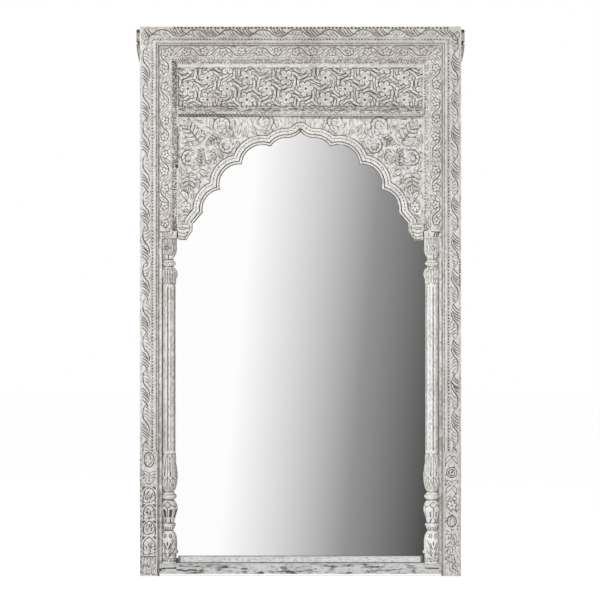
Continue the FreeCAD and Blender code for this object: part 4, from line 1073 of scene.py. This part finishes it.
across = arch[:, 0][None] + share_grid * ray[:, 0][None]
up = arch[:, 1][None] + share_grid * ray[:, 1][None]
on_field = (zones == FIELD)[:, None]
steep = np.abs(np.gradient(arch[:, 1])) / np.hypot(*np.gradient(arch, axis=0).T)
uneven = 0.75 + 0.5 * np.sin(walked / 9.7) * np.sin(walked / 23.0 + 1.0)
beat = np.abs(2 * ((walked / 8.4 + 0.6 * np.sin(walked / 23.0)) % 1) - 1)
dots = 3.2 * np.clip(beat - 0.35, 0, 0.4) / 0.4
for side, hand in HANDS:
    left = side < 0
    rng = np.random.default_rng(61 if left else 62)
    face = CarvedFace(across, up, np.where(on_field, FIELD_GROUND, 0.0))
    spandrel_field(face)
    curling_strokes(face, rng, 2600)
    face.cut[zones < FIELD] = 0
    margin = on_field & ((across < -BOARD_EDGE + 4) | (up > TRANSOM_FOOT - 3))
    face.raised[margin] = FIELD_GROUND
    for zone, depth in ((0, 3.4), (2, 3.4), (6, 2.8)):
        face.cut[zones == zone] = depth * uneven * (0.6 + (1.0 if left else 0.45) * steep)
    face.cut[(np.abs(across) < 3.5) & (up < SPRING + ARCH_RISE + 9)] = 4.0
    face.cut[zones == 4] = dots
    drop = drops + face.depth(rng, 0.45)
    groove = on_field & (up > TRANSOM_FOOT - 6) & (up < TRANSOM_FOOT - 1.5) & (not left)
    drop = drop + np.where(groove, 0.9, 0)
    # Painted shade darkens the steep parts of the moulding, the left spandrel's most, and the
    # groove under the transom on the right one; the field just under the transom gets painted
    # light.
    stepped = [zones == 2, zones == 0, (zones == 1) | (zones == 3)]
    steep_shade = np.select(stepped, [1.5, 0.9, 0.24], 0.0)[:, None]
    steep_shade = steep_shade * np.clip(steep * (1.6 * uneven - 0.2), 0, None) * (1.0 if left else 0.35)
    shade = face.wash_and_shade(drop) + steep_shade + np.where(groove, 0.3, 0)
    uncut = on_field * (face.cut < 0.5) * ~groove
    lit = 0.73 * np.clip((up - TRANSOM_FOOT + 34) / 12, 0, 1) * uncut
    shade = np.maximum(shade - lit, PAINTED_HIGHLIGHT)
    x = np.concatenate((across, across[-1:], across[:1])) * -side
    z = np.concatenate((up, up[-1:], up[:1]))
    name, node = f"cusped_spandrel_{hand}", f"spandrel_{hand}"
    carved_piece(name, spandrel_finish, node, x, z, drop, shade, BOARD_BACK)

# Corbels: two small brackets of the same wood under the arch ends, cut like the lip and bowl of a
# pot, limewashed like the spandrels and doweled to the jambs.
CORBEL_FOOT, CORBEL_KNEE, CORBEL_LIP, CORBEL_TOP = 1120, 1151, 1163, 1177
CORBEL_MIDDLE = 391.0
rng = np.random.default_rng(71)
z = marks(1.2, CORBEL_FOOT, CORBEL_KNEE, CORBEL_LIP, CORBEL_TOP)[None, :]
inner = 360.0 + 21 * np.clip(CORBEL_KNEE - z, 0, None) / 31
x = BOARD_EDGE - np.linspace(0, 1, 40)[:, None] * (BOARD_EDGE - inner)
face = CarvedFace(x, z, 0.0)
reach = np.linspace(-15, 13, 9)
for level, sag in ((1173.0, 0.0), (1159, 3.5), (1147, 5.0), (1136, 6.0), (1125, 3.0)):
    line = np.stack((CORBEL_MIDDLE + reach, level - sag * (1 - (reach / 15) ** 2)), -1)
    face.groove(line, 3.6, 2.8)
face.groove(((369, 1170), (370, 1152), (388, 1121)), 3.0, 2.2)
face.groove(((361.6, 1176), (361.6, 1151), (382.4, 1120.5)), 2.6, 1.9)
bowl = 2.5 * np.clip(1 - ((x - CORBEL_MIDDLE) / 15) ** 2, 0, None) * (z < 1160)
drop = np.where(z > CORBEL_LIP, 22.0, 27.5) - bowl + face.depth(rng)
drop = drop + 2.0 * np.clip(1 - (x - inner) / 2.2, 0, 1) ** 2
shade, x = face.wash_and_shade(drop), np.concatenate((x, x[-1:], x[:1]))
for side, hand in HANDS:
    name, node = f"pot_corbel_{hand}", f"corbel_{hand}"
    carved_piece(name, spandrel_finish, node, side * x, z, drop, shade, BOARD_BACK)

# Half columns: turned from the same wood, split, planed on the outer side and carved: a petalled
# capital, a fluted shaft, a long bud of petals, a slotted bulb and a base with buds and leaves.
# Each is limewashed and doweled to the flat seat on its jamb; the right one is painted paler, as
# painted light.
COLUMN_HEIGHT = 1083.0
COLUMN_MIDDLE, COLUMN_BACK = 439.0, -7.0
COLUMN_TRIM = 22.9
SHAFT_FOOT, SHAFT_TOP, SHAFT_RADIUS = 0.345, 0.852, 22
LAYOUT_RADIUS = 24.0
# The turned outline: radius, share of the height.
TURNED = (
    (25, 0), (25, 0.029), (31, 0.031), (31.5, 0.034), (31, 0.037), (26.5, 0.041), (27.2, 0.05),
    (27.3, 0.062), (26.6, 0.073), (25.2, 0.083), (20.7, 0.0924), (14.4, 0.1005), (14.4, 0.1025),
    (17, 0.1046), (19.5, 0.109), (20.4, 0.114), (23, 0.1165), (23, 0.1212), (17.4, 0.1244),
    (19.5, 0.134), (24.5, 0.15), (28, 0.159), (29.2, 0.1675), (28, 0.1765), (24, 0.186),
    (18.2, 0.1925), (18, 0.1945), (23, 0.1996), (25.4, 0.203), (25.4, 0.208), (20, 0.2135),
    (18, 0.2165), (18, 0.222), (22.4, 0.2285), (24.4, 0.2345), (27.2, 0.245), (28.8, 0.259),
    (28.8, 0.274), (26.3, 0.295), (23.7, 0.307), (23.7, 0.333), (22, 0.339), (22, 0.858),
    (23.7, 0.861), (23.7, 0.874), (27.4, 0.88), (29.2, 0.889), (27.4, 0.899), (22, 0.9065),
    (16.4, 0.911), (16.4, 0.914), (24.6, 0.9219), (17, 0.931), (14.2, 0.9335), (14.2, 0.936),
    (17.4, 0.942), (22, 0.949), (25.4, 0.957), (26.8, 0.965), (26.4, 0.98), (26.4, 1),
)
# Flutes: angle, width, depth. Petals: foot, head, how many, width, cut. Rings: share, depth.
FLUTES = ((-1.22, 3, 2.6), (-0.52, 2.4, 1.0), (0.0, 2.0, 2.6), (0.52, 2.4, 1.3), (1.22, 3, 2.6))
PETALS = (
    (0.226, 0.262, 5, 22, 2.6), (0.262, 0.336, 5, 19, 2.2), (0.862, 0.908, 5, 20, 2.8),
    (0.948, 0.998, 7, 15, 2.4),
)
RINGS = (
    (0.1015, 2.6), (0.123, 2.2), (0.1945, 3.0), (0.2105, 1.4), (0.2195, 2.4), (0.336, 1.6),
    (0.8595, 2.0), (0.9125, 2.6), (0.9345, 2.6),
)
# Leaves of the base: reach, foot, head.
BASE_LEAVES = (
    (10, 0.042, 0.062), (13, 0.030, 0.050), (11, 0.018, 0.036), (20, 0.044, 0.070),
    (24, 0.020, 0.046),
)
left_column = limewash("column_left", (0.76, 0.745, 0.73), (0.65, 0.63, 0.61), LIME_DARK)
# The right column's lime is paler, as painted light.
lit_right_column = limewash("column_right", (0.88, 0.87, 0.855), (0.78, 0.765, 0.75), WIPED_DARK)


def at(arc, share):
    """A spot on the column: millimetres round it, share of the height."""
    return arc, SEAT_FOOT + share * COLUMN_HEIGHT


def column_petals(face, left):
    for low, high, count, width, cut in PETALS:
        for turn in np.linspace(-1.35, 1.35, count):
            arc = turn * LAYOUT_RADIUS
            face.leaf(at(arc, low), at(arc, high), width, veins=1, height=0.0, cut=cut)
    width, head = (11.0, 0.162) if left else (6.0, 0.156)
    for turn in (-1.25, -0.42, 0.42, 1.25):
        arc = turn * LAYOUT_RADIUS
        face.groove((at(arc, 0.144), at(arc, head)), width, 0.42 * width)
        face.groove((at(arc, 0.268), at(arc, 0.3)), 2.8, 2.0)
    for lean in (-1, 1):
        face.groove((at(0, 0.189), at(11 * lean, 0.179), at(0, 0.1685)), 2.8, 2.4)
        garland = at(11 * lean, 0.179), at(25 * lean, 0.172), at(36 * lean, 0.184)
        face.groove(garland, 2.8, 2.4)
        face.groove((at(9 * lean, 0.135), at(13 * lean, 0.1265)), 7.0, 3.0)
    face.groove((at(0, 0.1685), at(0, 0.138)), 2.6, 2.4)


def column_buds(face, rng):
    for turn in np.linspace(-1.4, 1.4, 7):
        arc = turn * LAYOUT_RADIUS
        face.pit(at(arc, 0.1085), 3.2, 3.4)
        face.pit(at(arc + 3, 0.9255), 2.8, 2.8)
        face.pit(at(arc + 5, 0.9985), 3.0, 2.6)
    for turn in (-0.42, 0.42):
        bud = at(turn * LAYOUT_RADIUS, 0.084)
        face.groove(spiral(bud, 5.0, 5.0, 0, 1), 3.0, 2.6)
        face.pit(bud, 1.8, 2.2)
    face.groove((at(0, 0.064), at(0, 0.056)), 4.6, 3.8)
    for reach, foot, head in BASE_LEAVES:
        for lean in (-1, 1):
            face.groove((at(0.25 * reach * lean, foot), at(reach * lean, head)), 3.2, 2.6, 0.3)
    for place in np.arange(-34, 35, 6.2):
        for shift, share in ((0, 0.014), (3, 0.007)):
            arc, level = at(place + shift + rng.normal(0, 0.8), share)
            face.pit((arc, level + rng.normal(0, 0.8)), 2.6, 2.6)
    face.groove(spiral(at(-1.5, 0.9695), 6.5, 6.5, 0, 1), 3.0, 2.6)
    face.groove((at(2.5, 0.948), at(2.5, 0.938)), 5.5, 3.8)


outline = np.array(TURNED)
level = np.unique(np.concatenate((np.linspace(0, 1, 640), outline[:, 1])))
turned = np.interp(level, outline[:, 1], outline[:, 0])
z = level * COLUMN_HEIGHT + SEAT_FOOT
angle = np.linspace(-np.pi / 2, np.pi / 2, 72)
shaft = (level > SHAFT_FOOT) & (level < SHAFT_TOP)
flute_ends = np.clip(np.minimum(level - SHAFT_FOOT, SHAFT_TOP - level) / 0.006, 0, 1) ** 0.5
ragged = 0.5 + 0.5 * np.sin(z / 5.3) * np.sin(z / 13.7)
for side, hand in HANDS:
    left = side < 0
    rng = np.random.default_rng(81 if left else 82)
    facing = angle - 0.145 * side
    arc = facing[:, None] * LAYOUT_RADIUS
    face = CarvedFace(arc, z[None])
    for flute, width, depth in FLUTES:
        gap = np.abs(facing - flute)[:, None] * SHAFT_RADIUS
        dug = depth * np.sqrt(np.clip(1 - (gap / width) ** 2, 0, None))
        face.cut = np.maximum(face.cut, dug * np.where(shaft, flute_ends, 0)[None])
    for line, width in ((0.07, 3.0), (0.88, 2.4)):
        gap = np.abs(facing - line)[:, None] * SHAFT_RADIUS
        torn = np.where(shaft, 2.2 * ragged, 0)[None] * np.clip(1 - gap / width, 0, None)
        face.cut = np.maximum(face.cut, torn)
    column_petals(face, left)
    for ring, depth in RINGS:
        band = np.clip(1 - np.abs(z - at(0, ring)[1]) / 2.6, 0, 1)[None]
        face.cut = np.maximum(face.cut, depth * band * (0.75 + 0.25 * np.sin(arc / 5.0)))
    column_buds(face, rng)
    depth = face.depth(rng, 0.5)
    radius = np.maximum(turned[None] - depth, 8.0)
    aside = radius * np.sin(angle)[:, None] * side
    x = side * (COLUMN_MIDDLE + np.minimum(aside, COLUMN_TRIM))
    y = COLUMN_BACK - radius * np.cos(angle)[:, None]
    # Darker toward the foot, the left column more; painted shade on the left column's side toward
    # the pane; the turned hollows darken as dark wash and painted shade.
    wear_and_shade = np.where(level < 0.125, 0.16, np.where(level < 0.34, 0.10, 0.0)) * (1.0 if left else 0.5)
    wear_and_shade = wear_and_shade + (0.26 if left else 0.0) * np.clip((angle[:, None] - 0.35) / 0.7, 0, 1)
    wash_and_shade = face.wash_and_shade(depth + 0.25 * (softened(radius, 12) - radius)) + wear_and_shade
    piece = closed_piece(f"half_column_{hand}", x, y, np.broadcast_to(z, x.shape), wash_and_shade)
    settle(piece, left_column if left else lit_right_column, f"column_{hand}")

# Sill: a plain planed bottom rail between the stiles, its upper edge rounded by wear, and a
# bevelled slip in front of the glass; of the same wood, doweled to the stiles, with the coolest
# and barest coat of the frame.
EAR, EAR_FRONT, EAR_TOP = 407.6, 38.4, 58.8
PLINTH = (413, 462)
sill_finish = limewash("sill", (0.62, 0.625, 0.625), (0.53, 0.535, 0.535), LIME_DARK, "X")
slip_finish = limewash("slip", (0.73, 0.735, 0.74), (0.64, 0.645, 0.65), WIPED_DARK, "X")


def plain_rail(name, finish, outline, stops, seed, node, wear_and_shade, shape):
    """A planed rail from its end outline of (drop, height), weathered along the grain; shape adds
    its own cuts."""
    rng, outline = np.random.default_rng(seed), np.array(outline)
    depth, x_line = outline[:, :1], marks(2.2, *stops)
    face = CarvedFace(outline[:, 1:], x_line[None, :])
    noise = rng.normal(0, 1, face.a.shape)
    for _ in range(3):
        noise = softened(np.repeat(noise[:, ::5], 5, 1)[:, : len(x_line)], 1)
    grain = noise / noise.std()
    front = np.broadcast_to(depth < 45, face.a.shape)
    above = np.where(depth > 19, 0.3, 1.0)
    face.cut = np.where(front, wear_and_shade * above * np.clip(grain - 0.2, 0, None), 0)
    drop, level = shape(face, np.broadcast_to(depth, face.a.shape), face.a)
    drop = drop + np.where(front, face.cut, 0)
    weathered = 0.02 + 0.13 * above * grain + 0.30 * face.cut
    shade = np.where(front, weathered, np.where(depth > 74, BARE, EDGE_LIME))
    carved_piece(name, finish, node, x_line, level, drop, shade)


def sill_cuts(face, drop, level):
    """A split beside the left column, checks, and a plinth with a dark slot under each column."""
    rng = np.random.default_rng(93)
    face.groove(((21, -412), (20, -398), (17, -384), (21, -366), (19, -345)), 5.6, 5.0, 0.4)
    for low, start in rng.uniform((10, -410), (41, 400), (60, 2)):
        check = (low, start), (low + rng.normal(0, 0.8), start + rng.uniform(6, 36))
        face.groove(check, 2.6, rng.uniform(1.6, 4.2), 0.5)
    long_checks = (27, -300, -210), (15, -120, 40), (31, 60, 190), (19, 210, 340), (33, -350, -330)
    for low, start, stop in long_checks:
        face.groove(((low, start), (low + 2, stop)), 3.6, 2.6, 0.7)
    plinth = (np.abs(face.b) > PLINTH[0]) & (np.abs(face.b) < PLINTH[1]) & (drop < 20)
    face.cut[plinth] = 0
    for side, _ in HANDS:
        face.groove(((27, side * 416), (26, side * 460)), 5.0, 4.0)
        face.groove(((37, side * 414), (37, side * 461)), 2.8, 1.8)
    return drop - np.where(plinth, 2.5, 0), level


def slip_ears(face, drop, level):
    """Behind the columns only thin ears run on to the seats."""
    ear = np.abs(face.b) > EAR
    face.groove(((44, -406), (44, 406)), 4.4, 3.0)
    face.groove(((66.6, -406), (66.6, 406)), 3.2, 4.4)
    # The ends by the columns are cut back 2.6 mm, and the cut darkens them as painted shade of the
    # gap beside the columns.
    face.cut[(np.abs(face.b) > 400) & (drop < 45)] = 2.6
    drop = np.where(ear, np.maximum(drop, EAR_FRONT), drop)
    return drop, np.where(ear, np.minimum(level, EAR_TOP), level)


sill_edge = [(18 - 4 * math.cos(a), 39 + 4 * math.sin(a)) for a in np.linspace(0, np.pi / 2, 6)]
outline = [(14, h) for h in np.linspace(8, 39, 18)] + sill_edge
outline += [(d, 43) for d in np.linspace(20, 75, 16)] + [(75, 8)]
stops = (-469.7, -PLINTH[1], -PLINTH[0], *PLINTH, 469.7)
plain_rail("planed_sill", sill_finish, outline, stops, 91, "sill_rail", 0.7, sill_cuts)
outline = [(30, h) for h in np.linspace(43, 58, 10)]
outline += [(30 + 14 * b, 59 + 8 * b) for b in np.linspace(0, 1, 10)] + [(49.7, 67), (49.7, 43)]
stops = (-423.6, -EAR, EAR, 423.6)
plain_rail("bevelled_slip", slip_finish, outline, stops, 92, "sill_slip", 0.25, slip_ears)

# Mirror: one flat pane of float glass, silvered on its back, with a breath of haze on the silver.
# It is laid into the rebate from behind.
silver, tree, shader = new_finish("silvered_pane")
shader["Metallic"].default_value = 1.0
spot, cloud = add_node(tree, "TexCoord"), add_node(tree, "TexNoise", Scale=3.0)
haze = add_node(tree, "MapRange", To_Min=0.0, To_Max=0.02)
tone = add_node(tree, "MapRange", To_Min=0.97, To_Max=0.985)
wire(
    tree,
    (spot.outputs["Object"], cloud.inputs["Vector"]),
    (cloud.outputs["Fac"], haze.inputs["Value"]),
    (cloud.outputs["Fac"], tone.inputs["Value"]),
    (haze.outputs["Result"], shader["Roughness"]),
    (tone.outputs["Result"], shader["Base Color"]),
)


def dress(finish, *nodes):
    """Carried-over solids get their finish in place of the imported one."""
    for node in nodes:
        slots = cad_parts[node].data.materials
        slots.clear()
        slots.append(finish)


dress(silver, "mirror_glass")

# Back: a plywood sheet behind the pane, and five battens of sawn softwood, left bare. The battens
# are screwed to the jambs, the head border, the transom and the sill, and hold the sheet, the pane
# and the frieze in the rebate.


def two_tone(tree, shader, noise, places, colours, roughness):
    """Colour and roughness from one noise: a ramp between two colours, and a span of roughness."""
    ramp = add_node(tree, "ValToRGB")
    for stop, place, colour in zip(ramp.color_ramp.elements, places, colours):
        stop.position, stop.color = place, (*colour, 1)
    dull = add_node(tree, "MapRange", To_Min=roughness[0], To_Max=roughness[1])
    wire(
        tree,
        (noise.outputs["Fac"], ramp.inputs["Fac"]),
        (noise.outputs["Fac"], dull.inputs["Value"]),
        (ramp.outputs["Color"], shader["Base Color"]),
        (dull.outputs["Result"], shader["Roughness"]),
    )


def sawn_wood(name, light, dark, grain_along, ring_scale):
    """Bare wood with growth rings drawn out along the grain and a soft bump of saw marks."""
    finish, tree, shader = new_finish(name)
    shader["Specular IOR Level"].default_value = 0.3
    drawn_out = (1, 1, 0.05) if grain_along == "Z" else (0.05, 1, 1)
    spot, turned = add_node(tree, "TexCoord"), add_node(tree, "Mapping", Scale=drawn_out)
    rings = add_node(tree, "TexNoise", Scale=ring_scale, Detail=6.0, Distortion=0.6)
    bump = add_node(tree, "Bump", Strength=0.3, Distance=0.0006)
    two_tone(tree, shader, rings, (0.36, 0.66), (dark, light), (0.6, 0.85))
    wire(
        tree,
        (spot.outputs["Object"], turned.inputs["Vector"]),
        (turned.outputs["Vector"], rings.inputs["Vector"]),
        (rings.outputs["Fac"], bump.inputs["Height"]),
        (bump.outputs["Normal"], shader["Normal"]),
    )
    return finish


upright_batten = sawn_wood("batten_upright", (0.55, 0.38, 0.21), (0.36, 0.22, 0.11), "Z", 90.0)
cross_batten = sawn_wood("batten_cross", (0.56, 0.39, 0.22), (0.37, 0.23, 0.12), "X", 90.0)
plywood = sawn_wood("plywood_sheet", (0.60, 0.44, 0.27), (0.46, 0.31, 0.17), "Z", 35.0)
dress(plywood, "back_board")
dress(upright_batten, "batten_left", "batten_right")
dress(cross_batten, "batten_top", "batten_middle", "batten_bottom")

# Dowels and screws: turned hardwood pins glued into the joints, where nothing shows of them, and
# zinc-plated steel screws driven through the battens and the straps.
dress(upright_batten, "mitre_dowels", "column_dowels", "arch_dowels", "sill_dowels")
zinc, tree, shader = new_finish("zinc_plate")
shader["Metallic"].default_value = 1.0
spot, cloud = add_node(tree, "TexCoord"), add_node(tree, "TexNoise", Scale=260.0, Detail=4.0)
wire(tree, (spot.outputs["Object"], cloud.inputs["Vector"]))
spangle = (0.33, 0.33, 0.325), (0.52, 0.52, 0.51)
two_tone(tree, shader, cloud, (0.35, 0.65), spangle, (0.28, 0.5))
dress(zinc, "batten_screws", "hanger_screws")

# Hangers: bent steel straps with a rolled eye, zinc-plated and screwed to the backs of the jambs,
# and a ring of steel wire that swings in each eye.
dress(zinc, "hanger_strap_left", "hanger_strap_right", "hanger_ring_left", "hanger_ring_right")

# Floor: a plain pale studio floor of paper, which keeps the shadow of the frame. The camera sees it
# lifted to the white of the room, and the pane looks past it.


def stage_sheet(name, corners, finish):
    """A flat sheet that isn't part of the object."""
    mesh = bpy.data.meshes.new(name)
    mesh.from_pydata(corners, [], [(0, 1, 2, 3)])
    mesh.materials.append(finish)
    sheet = bpy.data.objects.new(name, mesh)
    bpy.context.scene.collection.objects.link(sheet)
    return sheet


paper, tree, shader = new_finish("white_paper")
shader["Base Color"].default_value = (0.82, 0.82, 0.82, 1)
shader["Roughness"].default_value = 0.9
shader["Emission Color"].default_value = (1, 1, 1, 1)
seen, lift = add_node(tree, "LightPath"), add_node(tree, "Math")
lift.operation = "MULTIPLY"
lift.inputs[1].default_value = 0.6
wire(
    tree,
    (seen.outputs["Is Camera Ray"], lift.inputs[0]),
    (lift.outputs[0], shader["Emission Strength"]),
)
corners = [(-30, -30, 0), (30, -30, 0), (30, 30, 0), (-30, 30, 0)]
floor = stage_sheet("studio_floor", corners, paper)
floor.visible_glossy = False
floor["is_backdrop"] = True

# Reflection card: a large sheet that stands between the frame and the camera, graded from white to
# dark grey on a slant. Only the pane can see it.
CAMERA_AWAY = 16.0
EYE_LEVEL = 0.92
CARD_AWAY, CARD_HALF, CARD_FOOT, CARD_TOP = 7.5, 2.6, -2.4, 4.2
CARD_SLANT, CARD_SHIFT = 0.097, 0.4925
CARD_TONES = ((0.30, 1.0), (0.56, 0.58), (0.72, 0.30))
graded, tree, _ = new_finish("graded_card")
tree.nodes.remove(tree.nodes["Principled BSDF"])
spot, lean = add_node(tree, "TexCoord"), add_node(tree, "VectorMath")
shift, ramp, glow = (add_node(tree, kind) for kind in ("Math", "ValToRGB", "Emission"))
lean.operation, shift.operation = "DOT_PRODUCT", "ADD"
spread = 1 + (CARD_AWAY + 0.005) / (CAMERA_AWAY + 0.05)
lean.inputs[1].default_value = (1 / spread, 0, -CARD_SLANT / spread)
shift.inputs[1].default_value = CARD_SHIFT + CARD_SLANT * EYE_LEVEL / spread
tones = ramp.color_ramp.elements
for place, grey in CARD_TONES:
    tones.new(place).color = (grey, grey, grey, 1)
tones[0].color, tones[-1].color = (1, 1, 1, 1), (0.078, 0.079, 0.078, 1)
tones[-1].position = 0.98
wire(
    tree,
    (spot.outputs["Object"], lean.inputs[0]),
    (lean.outputs["Value"], shift.inputs[0]),
    (shift.outputs[0], ramp.inputs["Fac"]),
    (ramp.outputs["Color"], glow.inputs["Color"]),
    (glow.outputs["Emission"], tree.nodes["Material Output"].inputs["Surface"]),
)
top_corners = [(x, -CARD_AWAY, CARD_TOP) for x in (-CARD_HALF, CARD_HALF)]
foot_corners = [(x, -CARD_AWAY, CARD_FOOT) for x in (CARD_HALF, -CARD_HALF)]
card = stage_sheet("grey_card", top_corners + foot_corners, graded)
for ray in ("camera", "diffuse", "transmission", "volume_scatter", "shadow"):
    setattr(card, f"visible_{ray}", False)
card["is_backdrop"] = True

# Light: a white room, one large soft lamp high on the left, a weaker one on the right, and one
# behind for the back. None of the lamps shows in the pane.
room = bpy.data.worlds.new("white_room")
bpy.context.scene.world = room
room.use_nodes = True
tree = room.node_tree
sky = tree.nodes["Background"].inputs
sky["Color"].default_value = (1, 1, 1, 1)
seen, level = add_node(tree, "LightPath"), add_node(tree, "MapRange", To_Min=0.40, To_Max=1.0)
either, any_ray = add_node(tree, "Math"), add_node(tree, "Math")
either.operation = any_ray.operation = "MAXIMUM"
wire(
    tree,
    (seen.outputs["Is Camera Ray"], either.inputs[0]),
    (seen.outputs["Is Glossy Ray"], either.inputs[1]),
    (either.outputs[0], any_ray.inputs[0]),
    (seen.outputs["Is Transmission Ray"], any_ray.inputs[1]),
    (any_ray.outputs[0], level.inputs["Value"]),
    (level.outputs["Result"], sky["Strength"]),
)


def lamp(name, place, aim, size, power):
    light = bpy.data.lights.new(name, "AREA")
    light.energy, light.size = power, size
    holder = bpy.data.objects.new(name, light)
    bpy.context.scene.collection.objects.link(holder)
    holder.location = place
    away = np.array(aim) - np.array(place)
    tip = math.acos(-away[2] / np.linalg.norm(away))
    holder.rotation_euler = (tip, 0, math.atan2(away[1], away[0]) - math.pi / 2)
    holder.visible_glossy = False


lamp("soft_key", (-2.1, -4.3, 2.3), (0, 0, 0.95), 3.2, 160)
lamp("soft_fill", (3.2, -3.3, 1.6), (0, 0, 0.9), 2.4, 30)
lamp("back_fill", (1.5, 3.4, 2.6), (0, 0, 0.9), 2.4, 60)

# Camera: straight in front of the frame at half its height and far away, so that nothing leans,
# with a square view as wide as the photograph's.
PIXEL = 0.003327
IMAGE_SIDE = 600
view = bpy.data.cameras.new("front_camera")
view.sensor_width = 36.0
view.lens = view.sensor_width * CAMERA_AWAY / (IMAGE_SIDE * PIXEL)
camera = bpy.data.objects.new("front_camera", view)
bpy.context.scene.collection.objects.link(camera)
camera.location = (-0.0017, -CAMERA_AWAY - 0.045, EYE_LEVEL)
camera.rotation_euler = (math.radians(90), 0, 0)
bpy.context.scene.camera = camera
bpy.context.scene.view_settings.view_transform = "Standard"

low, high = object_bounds()
